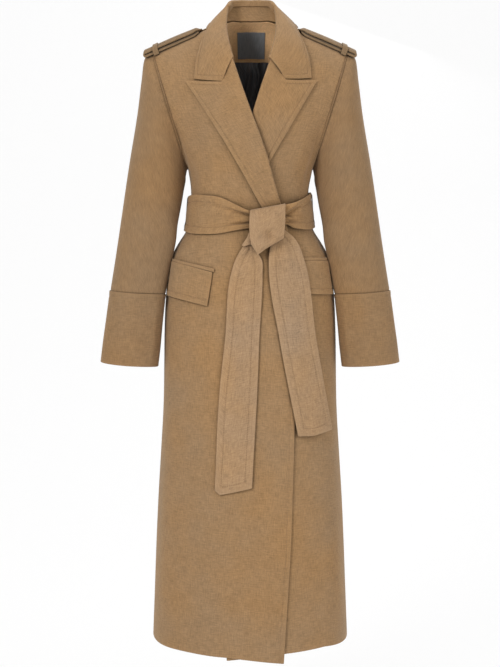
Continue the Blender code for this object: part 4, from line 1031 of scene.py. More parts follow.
for (side, word), flap, welt, flap_stand, welt_stand in zip(SIDES, FLAPS, WELTS, FLAP_STAND, WELT_STAND):
    over = side < 0
    rows = graded(44, (0.15, 0.07, 3.0), (0, 0.04, 3.0))
    cols = graded(50, (0, 0.05, 2.0), (1, 0.05, 2.0))
    outer_side = (1 - cols if over else cols)[None, :]
    hang = FLAP_HANG * (1 - rows[:, None]) ** 1.5 * (0.35 + 0.65 * outer_side)
    p = on_front(*cornered(flap, rows, cols), flap_stand + hang + FLAP_THICK, over)
    piece("coat_flap_" + word, p, FLAP_THICK, COAT, FRONT, "pocket_flap_" + word,
          rims=(1, 0.6, 1, 1), stitch=(("low", FLAP_STITCH),))
    rows, cols = np.linspace(0, 1, 9), np.linspace(0, 1, 45)
    crown = WELT_CROWN * np.sin(math.pi * rows)[:, None]
    p = on_front(*cornered(welt, rows, cols), welt_stand + WELT_THICK + crown, over)
    piece("coat_welt_" + word, p, WELT_THICK, COAT, FRONT, "pocket_welt_" + word)


# ---------------------------------------------------------------- belt
# place round the body, height of the belt's top and of its foot
BELT = (
    (-2.0, -0.343, -0.412),
    (-1.0, -0.346, -0.4135),
    (-0.462, -0.3444, -0.42),
    (-0.263, -0.3491, -0.4185),
    (-0.1, -0.364, -0.412),
    (0.0, -0.3748, -0.4084),
    (0.15, -0.372, -0.406),
    (0.24, -0.3672, -0.401),
    (0.33, -0.363, -0.4018),
    (0.4, -0.3598, -0.4072),
    (0.47, -0.357, -0.4092),
    (0.636, -0.35, -0.411),
    (0.95, -0.339, -0.4075),
    (1.2, -0.339, -0.407),
    (2.0, -0.343, -0.412),
)
BELT_STITCH = 0.0125
BELT_COLS = 340
BELT_STAND = (0.0022, 0.003)  # off the body: at least, and more at the waist's hollow
BELT_HOLLOW = (-0.378, 0.022)  # which is at this height, with this half width
LAP_END = (0.078, 0.045)  # where the belt comes down off the lap: x and run
BELT_LEAN = 0.3  # how much of the body's slope the belt takes on
BACK_PINCH = (0.00096, 9.0, 1.0)  # ripple of the belt behind: height, turns, start
GATHERED_TO = 0.98  # places further round than this have no gathers
GATHER_DEPTH = 1.4
GATHER_ENDS = (-0.25, 1.25, 0.45)  # shares of its line that it rises from and falls to, and the run
GATHER_WIDER, GATHER_LEFT = 0.5, 0.25  # away from the knot: how much wider, share of its height left
KNOT_X = 0.03
# gathers of the belt beside the knot: from x, z to x, z, half width, height (below zero: a trough)
GATHERS = (
    (-0.092, -0.3585, 0.004, -0.384, 0.0022, -0.003),
    (-0.04, -0.359, 0.004, -0.379, 0.005, 0.003),
    (-0.085, -0.4035, 0.004, -0.3985, 0.002, -0.0026),
    (-0.06, -0.4095, 0.004, -0.403, 0.004, 0.0022),
    (-0.075, -0.389, -0.03, -0.39, 0.006, -0.0022),
    (-0.03, -0.392, 0.004, -0.391, 0.005, 0.002),
    (0.066, -0.382, 0.103, -0.354, 0.003, -0.0034),
    (0.066, -0.374, 0.1, -0.347, 0.0045, 0.0024),
    (0.066, -0.3835, 0.09, -0.3865, 0.002, -0.0036),
    (0.066, -0.39, 0.098, -0.378, 0.0045, 0.0026),
    (0.066, -0.3955, 0.1, -0.3975, 0.003, -0.0024),
    (0.066, -0.401, 0.092, -0.404, 0.0035, 0.0022),
    (0.066, -0.405, 0.082, -0.4085, 0.003, -0.004),
)


def belt_stand(x, z, behind):
    bridge = BELT_STAND[0] + BELT_STAND[1] * bell(z - BELT_HOLLOW[0], BELT_HOLLOW[1])
    return bridge + np.where(behind, 0.0, lap(x, z) * (1 - rise(x, *LAP_END)))


def gathers(x, z):
    start, end, run = GATHER_ENDS
    total = 0.0
    for x0, z0, x1, z1, width, height in GATHERS:
        s, d = crease(x - x0, z - z0, np.array([x1 - x0, z1 - z0]))
        near_knot = s if x1 < KNOT_X else 1 - s
        wide = width * (1 + GATHER_WIDER - GATHER_WIDER * np.clip(near_knot, 0, 1))
        ends = rise(s, start, run) * soft((end - s) / run)
        left = GATHER_LEFT + (1 - GATHER_LEFT) * soft(near_knot)
        total = total + GATHER_DEPTH * height * bell(d, wide) * ends * left
    return total


def belt_rings(rows, cols):
    us = np.linspace(-2, 2, cols, endpoint=False)
    z = curve(BELT, 2, us)[None, :] * (1 - rows[:, None]) + curve(BELT, 1, us)[None, :] * rows[:, None]
    behind = (np.abs(us) > 1)[None, :]
    u = np.broadcast_to(np.where(us < -1, us + 4, us), z.shape)
    v = z - UNDERARM_Z
    p = np.where(behind[..., None], body(u, v, True), body(u, v))
    n = np.where(behind[..., None], facing_out(u, v, True), facing_out(u, v))
    n[..., 2] *= BELT_LEAN
    lift = belt_stand(p[..., 0], z, behind) + BELT_T
    front = ~behind & (np.abs(us)[None, :] < GATHERED_TO)
    lift = lift + np.where(front, gathers(p[..., 0], z), 0.0)
    high, turns, start = BACK_PINCH
    pinch = high * np.sin(us * turns + start)[None, :] * np.sin(math.pi * rows)[:, None] ** 2
    return p + unit(n) * (lift + np.where(behind, pinch, 0.0))[..., None]


rows = graded(56, (0.18, 0.06, 2.5), (0.82, 0.06, 2.5), (0, 0.03, 3.0), (1, 0.03, 3.0))
p = belt_rings(rows, BELT_COLS)
piece("coat_belt", p, BELT_T, BAND, p - p.mean(1, keepdims=True), "belt",
      wrap=True, rims=(1, 1, 0, 0), stitch=(("low", BELT_STITCH), ("high", BELT_STITCH)))

LOOP_ENDS = ((-0.415, -0.3435), (-0.408, -0.3375))  # heights of the right and of the left loop
# line of a belt loop, from its foot up: share of its height, distance off the body
LOOP_LINE = ((0.0, 0.001), (0.007, 0.0036), (0.048, 0.0058), (0.279, 0.0078), (0.551, 0.0088),
             (0.837, 0.0086), (0.939, 0.0076), (0.993, 0.0048), (1.0, 0.001))
LOOP_HALF = 0.0042
LOOP_CROWN = 0.0003
LOOP_THICK = 0.0016
LOOP_STEPS = 60

for (side, word), (low, high) in zip(SIDES, LOOP_ENDS):
    shares, lift = np.array(LOOP_LINE).T
    zs = low + (high - low) * shares
    if side < 0:
        lift = lift + lap(-curve(BODY, 1, zs), zs)
    line = along(np.stack([curve(BODY, 1, zs) + lift, zs], -1), np.linspace(0, 1, LOOP_STEPS), True)
    y = np.linspace(-LOOP_HALF, LOOP_HALF, 9)[None, :]
    x = side * (line[:, :1] + LOOP_CROWN * (1 - (y / LOOP_HALF) ** 2))
    p = np.stack(np.broadcast_arrays(x, y, line[:, 1:]), -1)
    piece("coat_loop_" + word, p, LOOP_THICK, TRIM, (side, 0, 0), "belt_loop_" + word)


# ---------------------------------------------------------------- knot
KNOT_TOP = ((0.0018, -0.3722), (0.035, -0.3662), (0.069, -0.36))
KNOT_LOW = ((0.0022, -0.4405), (0.0152, -0.461), (0.03, -0.45), (0.0454, -0.441), (0.0661, -0.429))
KNOT_SIDE = ((0.0022, -0.4405), (0.0004, -0.41), (0.0018, -0.3722))
KNOT_FAR = ((0.0661, -0.429), (0.0692, -0.395), (0.069, -0.36))
KNOT_THICK = 0.0042
KNOT_FOOT, KNOT_FULL = 0.01, 0.0155  # height off the front where it turns under, and more
KNOT_ROUND = (0.2, 0.17)  # shares of its height that turn under at the top, the foot
KNOT_UNDER = 0.22  # share of its height that it loses at the foot
KNOT_CROWN = 0.0016
KNOT_RIPPLE = (0.0009, 10.0, 1.2, 0.55, 0.4)  # height, turns across, start; share up, half width
KNOT_CREASE = (0.003, 0.02, -0.44, 0.0022, 0.001)  # beside its first edge: x, slope, z, width, depth
# dents (below zero) and lumps: x, z, direction x, z, half widths along and square to it, height
KNOT_LUMPS = (
    (0.0365, -0.4225, 0.86, 0.5, 0.0076, 0.0125, -0.0074),
    (0.052, -0.4245, 1.0, 0.0, 0.011, 0.009, 0.006),
    (0.0215, -0.433, 1.0, 0.0, 0.009, 0.016, 0.0014),
)
# the gathered belt inside the wrapping band
CORE_LOW = ((0.0045, -0.433), (0.03, -0.44), (0.062, -0.426))
CORE_HIGH = ((0.003, -0.379), (0.035, -0.3715), (0.0655, -0.365))
CORE_STAND, CORE_SWELL = 0.0088, 0.0095
CORE_RIB = (0.0008, 16.0)  # height, turns up it
CORE_THICK = (0.003, 0.006)  # at its edges, and more in the middle


def dome(q):
    """Height of a quarter round at shares q of its run, 1 at its start."""
    return np.sqrt(np.clip(1 - np.clip(q, 0, 1) ** 2, 0, 1))


def knot_band():
    rows, cols = graded(64, (0, 0.05, 2.0), (1, 0.05, 2.0)), graded(56, (0, 0.05, 2.5), (1, 0.05, 2.5))
    x, z = np.moveaxis(patch(KNOT_LOW, KNOT_TOP, KNOT_SIDE, KNOT_FAR, rows, cols, "a"), -1, 0)
    r, q = rows[:, None], cols[None, :]
    top, foot = KNOT_ROUND
    over_top = dome((r - (1 - top)) / top)
    height = KNOT_FOOT + KNOT_FULL * over_top
    height = height * (1 - KNOT_UNDER + KNOT_UNDER * dome((foot - r) / foot))
    height = height + KNOT_CROWN * np.sin(math.pi * q) * over_top
    for at_x, at_z, run, climb, half_a, half_b, lump in KNOT_LUMPS:
        dx, dz = x - at_x, z - at_z
        height = height + lump * bell(dx * run + dz * climb, half_a) * bell(dx * climb - dz * run, half_b)
    at_x, slope, at_z, wide, depth = KNOT_CREASE
    height = height - depth * bell(x - at_x - slope * (z - at_z), wide)
    high, turns, start, at, half_width = KNOT_RIPPLE
    height = height + high * np.sin(q * turns + start) * bell(r - at, half_width)
    return on_front(x, z, height, True)


piece("coat_knot", knot_band(), KNOT_THICK, BELTING, FRONT, "belt_knot",
      rims=(1, 1, 0.9, 0.9))

rows, cols = np.linspace(0, 1, 40), np.linspace(0, 1, 34)
grid = patch(CORE_LOW, CORE_HIGH, (CORE_LOW[0], CORE_HIGH[0]), (CORE_LOW[-1], CORE_HIGH[-1]), rows, cols)
r, q = rows[:, None], cols[None, :]
swell = np.sqrt(np.maximum(4 * r * (1 - r) * (1 - (2 * q - 1) ** 8), 0))
off = CORE_STAND + CORE_SWELL * swell + CORE_RIB[0] * np.sin(r * CORE_RIB[1])
cloth("coat_knot_core", on_front(grid[..., 0], grid[..., 1], off, True),
      CORE_THICK[0] + CORE_THICK[1] * swell, BAND, FRONT, "",
      rims=(1, 1, 0.5, 0.5))


# ---------------------------------------------------------------- belt ends
# each end: its edges from the foot up to the knot, and its foot
LONG_NEAR = ((-0.0692, -0.9292), (-0.0584, -0.7229), (-0.0482, -0.6297), (-0.0345, -0.4933),
             (-0.028, -0.473), (-0.0198, -0.457), (-0.01, -0.443), (0.002, -0.432))
LONG_FAR = ((0.0024, -0.923), (0.0147, -0.6836), (0.0167, -0.6297), (0.0233, -0.497),
            (0.0228, -0.474), (0.015, -0.458), (0.008, -0.444), (0.006, -0.432))
LONG_FOOT = ((-0.0692, -0.9292), (-0.0602, -0.937), (0.0024, -0.923))
SHORT_NEAR = ((0.0985, -0.822), (0.0611, -0.6297), (0.0393, -0.483), (0.04, -0.456), (0.047, -0.426))
SHORT_FAR = ((0.1665, -0.815), (0.1322, -0.6306), (0.1054, -0.4656), (0.096, -0.441),
             (0.086, -0.427), (0.07, -0.414))
SHORT_FOOT = ((0.0985, -0.822), (0.13, -0.823), (0.1665, -0.815))
TAIL_STITCH = 0.0135
TAIL_THICK = 0.0042
TAIL_WIDE = 0.066
TAIL_STAND, TAIL_KNOT_RISE = 0.0012, 0.0022  # off the front, and more near the knot
# creases of the tails: share across, share down from the knot, to the same, half width, height
LONG_CREASES = (
    (0.5, 0.02, 0.3, 0.13, 0.0045, -0.0016),
    (0.62, 0.03, 0.72, 0.16, 0.005, 0.0016),
    (0.3, 0.02, 0.1, 0.09, 0.004, 0.0014),
    (0.4, 0.2, 0.52, 0.6, 0.014, 0.0012),
    (0.72, 0.3, 0.66, 0.75, 0.012, -0.001),
)
SHORT_CREASES = (
    (0.3, 0.02, 0.34, 0.22, 0.006, -0.002),
    (0.52, 0.03, 0.62, 0.2, 0.007, 0.0022),
    (0.7, 0.05, 0.8, 0.22, 0.005, -0.0014),
    (0.45, 0.26, 0.42, 0.7, 0.014, 0.0014),
    (0.75, 0.34, 0.7, 0.8, 0.012, -0.001),
)


def tail(word, foot, near, far_line, length, table, knot_run, sway):
    """One hanging end.  knot_run: share of it that the knot lifts.  sway: height of its slow
    waves, and how fast they turn down it, from where, and across it."""
    rows = graded(150, (0.028, 0.022, 5.0), (0, 0.008, 3.0), (1, 0.05, 1.0))
    cols = graded(46, (0.19, 0.05, 2.5), (0.81, 0.05, 2.5), (0, 0.03, 3.0), (1, 0.03, 3.0))
    grid = patch(foot, (near[-1], far_line[-1]), near, far_line, rows, cols, "ab")
    down, q = np.broadcast_arrays(1 - rows[:, None], cols[None, :])
    high, fast, start, over = sway
    off = TAIL_STAND + TAIL_KNOT_RISE * bell(down, knot_run)
    off = off + high * np.sin(fast * down + start + over * q) ** 2
    off = off + TAIL_THICK + creases(q, down, table, TAIL_WIDE, length)
    p = on_front(grid[..., 0], grid[..., 1], off, True)
    piece("coat_belt_end_" + word, p, TAIL_THICK, BELTING, FRONT, "belt_tail_" + word,
          stitch=(("low", TAIL_STITCH), ("left", TAIL_STITCH), ("right", TAIL_STITCH)),
          groove=0.0008, puff=0.0003)


tail("long", LONG_FOOT, LONG_NEAR, LONG_FAR, 0.5, LONG_CREASES, 0.1, (0.0012, 3.0, 0.0, 2.0))
tail("short", SHORT_FOOT, SHORT_NEAR, SHORT_FAR, 0.4, SHORT_CREASES, 0.14, (0.0014, 3.4, 1.0, 1.5))

# the piece of belt that comes from behind the knot and turns down over the long end
TURN_LOW = ((-0.015, -0.4425), (-0.011, -0.4432), (-0.004, -0.4412), (0.006, -0.439))
TURN_HIGH = ((-0.0015, -0.418), (0.012, -0.418))
TURN_NEAR = ((-0.015, -0.4425), (-0.0095, -0.434), (-0.0045, -0.426), (-0.0015, -0.418))
TURN_STAND, TURN_CROWN = 0.0125, (0.0035, 0.0015)  # height off the front, more up it and across it
TURN_SWEEP = (0.8, 0.3)  # share of a half wave up it, and radians that it starts at

rows = cols = np.linspace(0, 1, 26)
grid = patch(TURN_LOW, TURN_HIGH, TURN_NEAR, (TURN_LOW[-1], TURN_HIGH[-1]), rows, cols, "la")
off = TURN_STAND + TURN_CROWN[0] * np.sin(math.pi * rows[:, None] * TURN_SWEEP[0] + TURN_SWEEP[1])
off = off + TURN_CROWN[1] * np.sin(math.pi * cols[None, :])
cloth("coat_belt_turn", on_front(grid[..., 0], grid[..., 1], off, True), BELT_T, BELTING, FRONT, "")


# ---------------------------------------------------------------- collar and its stand
# place round the neck from the centre back to the front end; fold x, y, z; outer edge x, z
FALL = (
    (0.0, 0.0, 0.066, 0.0612, 0.0, -0.022),
    (0.2, 0.0255, 0.0595, 0.0607, 0.048, -0.022),
    (0.38, 0.044, 0.0385, 0.0553, 0.079, -0.02),
    (0.5, 0.0478, 0.015, 0.044, 0.0875, -0.005),
    (0.6, 0.0495, -0.012, 0.025, 0.0925, -0.024),
    (0.72, 0.0495, -0.048, -0.006, 0.1, -0.044),
    (0.82, 0.046, -0.076, -0.033, 0.1085, -0.078),
    (0.9, 0.0415, -0.09, -0.053, 0.1115, -0.112),
    (0.95, 0.0388, -0.0965, -0.0642, 0.084, -0.1158),
    (1.0, 0.0354, -0.101, -0.0721, 0.0546, -0.118),
)
# the left side of the collar stands further out: place, fold x, edge x, edge z
LEFT_SHIFT = (
    (0.0, 0.0, 0.0, 0.0), (0.2, 0.001, 0.001, 0.0), (0.38, 0.004, 0.004, 0.0),
    (0.5, 0.0055, 0.008, 0.0), (0.6, 0.0055, 0.0105, 0.0), (0.9, 0.0062, 0.0105, 0.002),
    (0.95, 0.0054, 0.012, 0.0035), (1.0, 0.0047, 0.0148, 0.005),
)
# foot of the stand, along the neck: place, x, y, z
NECK = (
    (0.0, 0.0, 0.0506, 0.0166), (0.2, 0.022, 0.0482, 0.0165), (0.38, 0.0415, 0.0369, 0.016),
    (0.5, 0.06, 0.012, 0.008), (0.6, 0.059, -0.016, -0.004), (0.72, 0.053, -0.042, -0.026),
    (0.82, 0.047, -0.06, -0.046), (0.9, 0.0425, -0.074, -0.064),
)
COLLAR_OFF = 0.008  # the fall's edge off the back and the shoulders
COLLAR_END_DROP = (0.0038, 0.8, 0.1)  # its ends lie closer to the fronts: by, from place, run
COLLAR_THICK = 0.003
COLLAR_STITCH = 0.01
COLLAR_GROOVE, COLLAR_PUFF, COLLAR_PUFF_HALF = 0.0008, 0.0005, 0.0034
COLLAR_RIPPLE = (0.0008, 17.0, 0.45)  # height, turns round the neck, and half width down the fall
COLLAR_AWAY = (0.8, 0.045)  # way its swelling goes: share of the fold's y, and metres up
COLLAR_BEHIND = (0.62, 0.24)  # places where the back's turn ends, and the run before it
COLLAR_ROLL = 0.0045
COLLAR_TURN = (138.0, 172.0)  # degrees the fall turns over its fold, behind and in front
COLLAR_LEAD = 0.0085  # and how far it then runs on down
LEAD_DOWN = 0.7  # how steeply behind
FALL_SMOOTH = (0.6, 0.9)  # places between which its edge is one smooth line
FALL_BACK, FALL_FRONT = 0.499, 0.501  # places where its edge lies on the back, and on the fronts
SIDE_HOLLOW = (0.47, 0.17, 0.92)  # where the fall lies close: place, half width, share
FALL_SWELL = 0.3 * 1.7  # how full the fall is, as a share of its depth
FALL_FRONT_FLAT = (0.55, 0.7, 0.25)  # share of it lost in front, from place, run
STAND_THICK, STAND_FULL = 0.0024, 0.002
NECK_MIDDLE = (0, -0.004, 0)
STAND_TOP = (0.0018, 0.006)  # the stand's top inside the fold, and below it
STAND_END = 0.9


def shifted(q, col):
    """The extra distance of the left side at places q; none on the right."""
    table = np.array(LEFT_SHIFT)
    return np.interp(np.clip(q, 0, 1), table[:, 0], table[:, col])


def collar_fold(q):
    x = np.sign(q) * curve(FALL, 1, np.abs(q)) + shifted(q, 1)
    return np.stack([x, curve(FALL, 2, np.abs(q)), curve(FALL, 3, np.abs(q))], -1)


def collar_edge(places):
    a = np.abs(places)
    table = np.array(FALL)
    smooth = (a > FALL_SMOOTH[0]) & (a < FALL_SMOOTH[1])
    x, z = (np.where(smooth, curve(FALL[4:8], col, a), np.interp(a, table[:, 0], table[:, col]))
            for col in (4, 5))
    x, z = x * np.sign(places) + shifted(places, 2), z + shifted(places, 3)
    edge = np.stack([x, 0 * x, shoulder_z(x) + COLLAR_OFF], -1)
    back, right, left = a < FALL_BACK, places < -FALL_FRONT, places > FALL_FRONT
    edge[back] = on_back(x[back], z[back], COLLAR_OFF)
    drop, at, run = COLLAR_END_DROP
    low = COLLAR_OFF - drop * rise(a, at, run)
    edge[right] = on_front(x[right], z[right], low[right], True)
    edge[left] = on_front(x[left], z[left], low[left], False)
    return edge


def collar():
    half = graded(84, (0.9, 0.012, 6.0), (1.0, 0.02, 3.0), (0.5, 0.05, 1.0))
    half[np.abs(half - FALL_SMOOTH[1]).argmin()] = FALL_SMOOTH[1]
    places = np.concatenate([-half[:0:-1], half])
    a = np.abs(places)
    fold, edge = collar_fold(places), collar_edge(places)
    r = graded(64, (0.9, 0.05, 4.0), (1.0, 0.02, 4.0), (0.0, 0.05, 3.0))[None, :, None]
    share_y, up = COLLAR_AWAY
    away = unit(np.stack([fold[:, 0], fold[:, 1] * share_y, np.full(len(places), up)], -1))
    size = np.linalg.norm(edge - fold, axis=-1, keepdims=True)
    close, half_width, share = SIDE_HOLLOW
    lost, at, run = FALL_FRONT_FLAT
    full = 1 - lost * rise(a, at, run) - share * bell(a - close, half_width)
    swell = FALL_SWELL * size * full[:, None]
    p = fold[:, None] * (1 - r) + edge[:, None] * r + (away * swell)[:, None] * r * (1 - r)
    n = normals_towards(p, p + (0, 0, 0.03))
    far = border_distance(p)["right"]
    off = -COLLAR_GROOVE * bell(far - COLLAR_STITCH, GROOVE_HALF)
    off = off + COLLAR_PUFF * bell(far - PUFF_AT[0] * COLLAR_STITCH, COLLAR_PUFF_HALF)
    high, turns, half_run = COLLAR_RIPPLE
    off += high * np.sin(places * turns)[:, None] * bell(far / size, half_run)
    p = p + n * off[..., None]
    n = normals_towards(p, n)
    stitching("stitches_collar", [trace(p, n, {"right": far}, COLLAR_STITCH, "right")])
    behind = soft((COLLAR_BEHIND[0] - a) / COLLAR_BEHIND[1])
    turn = np.radians(COLLAR_TURN[0] * behind + COLLAR_TURN[1] * (1 - behind))
    wide = roll_over(p, n, np.full(len(places), COLLAR_ROLL), turn, 10, True)
    lead = unit(wide[:, 0] - wide[:, 1])
    steep = np.array([0, 0, -LEAD_DOWN]) * behind[:, None]
    lead = unit(lead * (1 - LEAD_DOWN * behind)[:, None] + steep)
    runs = [wide[:, :1] + (lead * COLLAR_LEAD * k)[:, None] for k in (1.0, 0.66, 0.33)]
    wide = np.concatenate(runs + [wide], 1)
    cloth("coat_collar", wide, COLLAR_THICK, COAT, reference(wide, n, True), "collar",
          rims=(0.2, 0.2, 0.6, 1))


def collar_stand():
    half = np.linspace(0, STAND_END, 60)
    places = np.concatenate([-half[:0:-1], half])
    a = np.abs(places)
    top = collar_fold(places)
    foot = np.stack([np.sign(places) * curve(NECK, 1, a), curve(NECK, 2, a), curve(NECK, 3, a)], -1)
    out = unit(foot * (1, 1, 0) - NECK_MIDDLE)
    inwards, down = STAND_TOP
    top = top - unit(top * (1, 1, 0) - NECK_MIDDLE) * inwards - (0, 0, down)
    r = graded(30, (0, 0.05, 3.0))[:, None, None]
    p = foot * (1 - r) + top * r + out * (STAND_FULL * 4 * r * (1 - r))
    piece("coat_collar_stand", p, STAND_THICK, COAT, p - (0, 0, 0.03), "collar_stand",
          rims=(0.6, 0, 0.4, 0.4))


collar()
collar_stand()


# ---------------------------------------------------------------- inside of the neck
FACING_OFF = CLOTH + 0.0008
FACING_PLACES = (1.752, 2.248)
FACING_THICK = 0.0018
FACING_FOOT = 0.738  # share of the way up to the neck seam at the centre
FACING_SMILE = (0.02, 0.25)  # how much higher at its sides, and how far round those are
FACING_TOP = 0.9995
LINING_THICK = 0.001
LINING_PLACES = (1.38, 2.62)
LINING_FOOT = (-0.013, -0.002)  # metres below the underarm's height, where it starts
LINING_UNDER = 0.004  # how far it stops below the facing's foot
PLEAT_FULL = 1.7
PLEAT_FREE = (0.745, 0.1)  # share of the way up where pleats are held, and the run below it
PLEATS = (  # place, half width, height
    (1.915, 0.012, 0.0034), (1.948, 0.009, 0.003), (1.972, 0.008, 0.0036), (2.004, 0.01, 0.004),
    (2.03, 0.007, 0.0026), (2.066, 0.011, 0.0034), (2.12, 0.016, 0.0026), (1.86, 0.016, 0.0028),
    (1.78, 0.024, 0.003), (2.21, 0.024, 0.003), (1.66, 0.03, 0.003), (2.33, 0.03, 0.0028),
)
LABEL_THICK = 0.001
LABEL_AT, LABEL_SPAN = (1.916, 0.762), (0.153, 0.175)  # place and share of its lower corner, and sizes


def inside_back(us, shares, off):
    """Points inside the back: us round the body, shares of the way up to the neck seam."""
    top = curve(BACK_NECK, 1, np.abs(across(us)) * TIP_X)
    v = np.where(shares > 0, shares * top[None, :], shares)
    u = np.broadcast_to(us, v.shape)
    return body(u, v, True) - facing_out(u, v, True) * (off - wave(u, v))[..., None]


def facing_foot(us):
    high, run = FACING_SMILE
    return FACING_FOOT + high * np.clip(np.abs(us - 2) / run, 0, 1)[None, :] ** 2


us, shares = np.linspace(*FACING_PLACES, 70), graded(50, (0.03, 0.03, 4.0))[:, None]
p = inside_back(us, facing_foot(us) + (FACING_TOP - facing_foot(us)) * shares, FACING_OFF)
piece("coat_neck_facing", p, FACING_THICK, FACING_PAINTED_LIT, BACK, "neck_facing", rims=(1, 0, 0.5, 0.5))

us, up = np.linspace(*LINING_PLACES, 210), graded(58)[:, None]
low = np.linspace(*LINING_FOOT, 6)[:, None] * np.ones((1, len(us)))
shares = np.concatenate([low, 0.001 + (facing_foot(us) - LINING_UNDER) * up])
fall = soft((PLEAT_FREE[0] - shares) / PLEAT_FREE[1])
pleats = sum(h * bell(us[None, :] - at - 0.006 * np.sin(7 * shares + 40 * at), w) for at, w, h in PLEATS)
off = CLOTH + LINING_THICK + PLEAT_FULL * pleats * (0.25 + 0.75 * fall)
piece("coat_lining", inside_back(us, shares, off), LINING_THICK, LINING, BACK, "lining_back",
      rims=(0.3, 0, 0.3, 0.3))

grid = graded(40, (0, 0.03, 3), (1, 0.03, 3))
us, shares = LABEL_AT[0] + LABEL_SPAN[0] * grid, (LABEL_AT[1] + LABEL_SPAN[1] * grid)[:, None]
p = inside_back(us, shares, FACING_OFF + FACING_THICK + 0.0003)
piece("coat_label", p, LABEL_THICK, LABEL, BACK, "label")


# ---------------------------------------------------------------- epaulettes and their keepers
STRAP_T = 0.0036
STRAP_LOW = 0.003  # the lower layer's height over the shoulder line
STRAP_HIGH = STRAP_LOW + STRAP_T + 0.003  # and the upper layer's
STRAP_ENDS = (0.104, 0.098)  # inner end of the lower layer and of the upper one
STRAP_BEND_X = 0.209
STRAP_STEPS = 55
STRAP_CROWN = (0.001, 0.095, 0.114)  # bow of the upper layer: height, from x, run
STRAP_TIP = (0.0058, 0.108, 0.01)  # droop of its inner end: drop, from x, run
STRAP_STITCH = 0.0055
SHOULDER_R = (0.034, 0.075)  # how round the shoulder is across, in front and behind
STRAP_WIDTHS = ((0.096, 0.006), (0.105, 0.02), (0.11, 0.0242), (0.122, 0.025), (0.22, 0.025))
SLOPE = math.atan2(NECK_Z - TIP_Z, TIP_X - NECK_X)
KEEPER_X = (0.1835, 0.1925)
KEEPER_THICK = 0.0016
KEEPER_HALF = (  # line of a keeper from one foot to its middle: y, height
    (0.029, 0.0008), (0.0284, 0.0085), (0.0264, 0.0126), (0.014, 0.0127),
)
KEEPER_TOP = 0.0127
KEEPER_WIDER = 1.05


def on_shoulder(side, along_x, up, y):
    """A point above the shoulder line: along it, square above it, and across."""
    base = NECK_Z - (along_x - NECK_X) * math.tan(SLOPE)
    drop = y * y / (2 * np.where(y < 0, *SHOULDER_R))
    x, z = side * (along_x + up * math.sin(SLOPE)), base + up * math.cos(SLOPE) - drop
    return np.stack(np.broadcast_arrays(x, y, z), -1)


def strap_path():
    """The doubled strap's middle line: out below, round its end and back above."""
    middle, radius = (STRAP_LOW + STRAP_HIGH) / 2, (STRAP_HIGH - STRAP_LOW) / 2
    run = graded(STRAP_STEPS - 1, (0, 0.05, 2.0))
    low, high = (np.stack([end + (STRAP_BEND_X - end) * shares, np.full(STRAP_STEPS, z)], -1)
                 for end, shares, z in zip(STRAP_ENDS, (run, run[::-1]), (STRAP_LOW, STRAP_HIGH)))
    a = np.linspace(0, math.pi, 13)[1:-1]
    bend = np.stack([STRAP_BEND_X + radius * np.sin(a), middle - radius * np.cos(a)], -1)
    bow, bow_x, bow_run = STRAP_CROWN
    drop, tip_x, tip_run = STRAP_TIP
    high[:, 1] += bow * np.sin(math.pi * (high[:, 0] - bow_x) / bow_run) ** 2
    high[:, 1] -= drop * soft((tip_x - high[:, 0]) / tip_run)
    return np.concatenate([low, bend, high])


def epaulette(side, word):
    path = strap_path()
    d = unit(np.gradient(path, axis=0))
    skin = path + np.stack([d[:, 1], -d[:, 0]], -1) * STRAP_T / 2
    c = graded(26, (0, 0.06, 2.0), (1, 0.06, 2.0), (0.14, 0.05, 2.0), (0.86, 0.05, 2.0)) * 2 - 1
    y = np.interp(path[:, 0], *np.array(STRAP_WIDTHS).T)[:, None] * c[None, :]
    outer, centre = (on_shoulder(side, line[:, :1], line[:, 1:], y) for line in (skin, path))
    piece("coat_epaulette_" + word, outer, STRAP_T, STRAP_WOOL, outer - centre, "epaulette_" + word,
          stitch=(("left", STRAP_STITCH), ("right", STRAP_STITCH)), groove=0.0004, puff=0.0002)
    rows = [(-y, up) for y, up in KEEPER_HALF] + [(0.0, KEEPER_TOP)] + list(KEEPER_HALF[::-1])
    line = along(rows, np.linspace(0, 1, LOOP_STEPS), True)
    p = on_shoulder(side, np.linspace(*KEEPER_X, 8)[None, :], line[:, 1:] + KEEPER_THICK,
                    line[:, :1] * KEEPER_WIDER)
    piece("coat_keeper_" + word, p, KEEPER_THICK, STRAP_WOOL, (0, 0, 1), "epaulette_loop_" + word)


for side, word in SIDES:
    epaulette(side, word)


# ---------------------------------------------------------------- room, lights and camera
FLOOR_Z, FLOOR_NEAR_Y = -1.5, -7.0
WALL_Y, WALL_TOP = 3.2, 4.5
SWEEP_R = 1.2
ROOM_HALF = 6.0
PAPER = (0.86, 0.86, 0.86)
PAPER_GLOW = 0.84  # share of the paper that the camera sees as plain white
WORLD_LEVEL = 0.47  # the white world as a light; the camera sees it at 1
WHITE = (1.0, 1.0, 1.0)
# lamps: name, place, aim, size, power
LAMPS = (
    ("key", (-2.1, -2.9, 1.2), (0, 0, -0.55), 1.3, 80.0),
    ("fill", (2.6, -2.6, 0.2), (0, 0, -0.65), 2.4, 44.0),
    ("top", (0.2, 0.4, 2.6), (0, 0, -0.4), 2.0, 36.0),
    ("behind", (0.6, 2.6, 1.2), (0, 0, -0.6), 2.2, 34.0),
)
CAMERA_D = 3.0
CAMERA_TILT = math.radians(5)
CAMERA_AIM = (0.0, 0.0, -0.629)
SENSOR = 36.0
FRAME_HIGH = 0.00208 * 667  # metres of the coat's plane that the picture's height spans


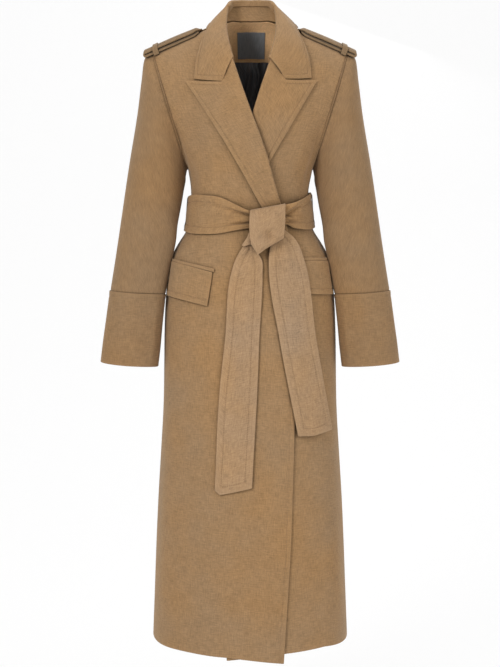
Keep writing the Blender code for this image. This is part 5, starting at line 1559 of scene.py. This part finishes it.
def room():
    """A pale floor that sweeps up into a backdrop.  It is clear from behind, so that views from
    there show the coat."""
    line = [(FLOOR_NEAR_Y, FLOOR_Z), (WALL_Y - SWEEP_R, FLOOR_Z)]
    for a in np.linspace(0, math.pi / 2, 17)[1:]:
        line.append((WALL_Y - SWEEP_R + SWEEP_R * math.sin(a), FLOOR_Z + SWEEP_R * (1 - math.cos(a))))
    line.append((WALL_Y, WALL_TOP))
    verts = [(x, y, z) for y, z in line for x in (-ROOM_HALF, ROOM_HALF)]
    faces = [(2 * i, 2 * i + 1, 2 * i + 3, 2 * i + 2) for i in range(len(line) - 1)]
    mat, made, bsdf = new_material("floor_paper")
    made.feed(bsdf, {"Base Color": PAPER, "Roughness": 0.9})
    glow = made.node("Emission", {"Color": WHITE, "Strength": 1.0})
    plain = made.times(made.node("LightPath", {}, "Is Camera Ray"), PAPER_GLOW)
    paper = made.node("MixShader", {0: plain, 1: bsdf.outputs[0], 2: glow})
    behind = made.node("NewGeometry", {}, "Backfacing")
    seen = made.node("MixShader", {0: behind, 1: paper, 2: made.node("BsdfTransparent", {})})
    made.feed(made.nodes["Material Output"], {"Surface": seen})
    new_mesh("floor", verts, faces, mat)


def studio():
    world = bpy.data.worlds.new("studio")
    bpy.context.scene.world = world
    world.use_nodes = True
    made = Shading(world.node_tree)
    seen = made.times(made.node("LightPath", {}, "Is Camera Ray"), 1.0 - WORLD_LEVEL)
    made.feed(made.nodes["Background"], {"Color": WHITE, "Strength": made.add(seen, WORLD_LEVEL)})


def placed(name, data, at, aim):
    """An object that looks from one point to another."""
    obj = bpy.data.objects.new(name, data)
    bpy.context.collection.objects.link(obj)
    obj.location = at
    obj.rotation_euler = (Vector(aim) - Vector(at)).to_track_quat("-Z", "Y").to_euler()
    return obj


room()
studio()
for name, at, aim, size, power in LAMPS:
    light = bpy.data.lights.new(name, "AREA")
    light.shape = "DISK"
    light.size = size
    light.energy = power
    placed(name, light, at, aim)

lens = bpy.data.cameras.new("camera")
lens.sensor_width = SENSOR
lens.lens = SENSOR * CAMERA_D / FRAME_HIGH
eye = (0.0, -CAMERA_D * math.cos(CAMERA_TILT), CAMERA_AIM[2] + CAMERA_D * math.sin(CAMERA_TILT))
bpy.context.scene.camera = placed("camera", lens, eye, CAMERA_AIM)
bpy.context.scene.view_settings.view_transform = "Standard"
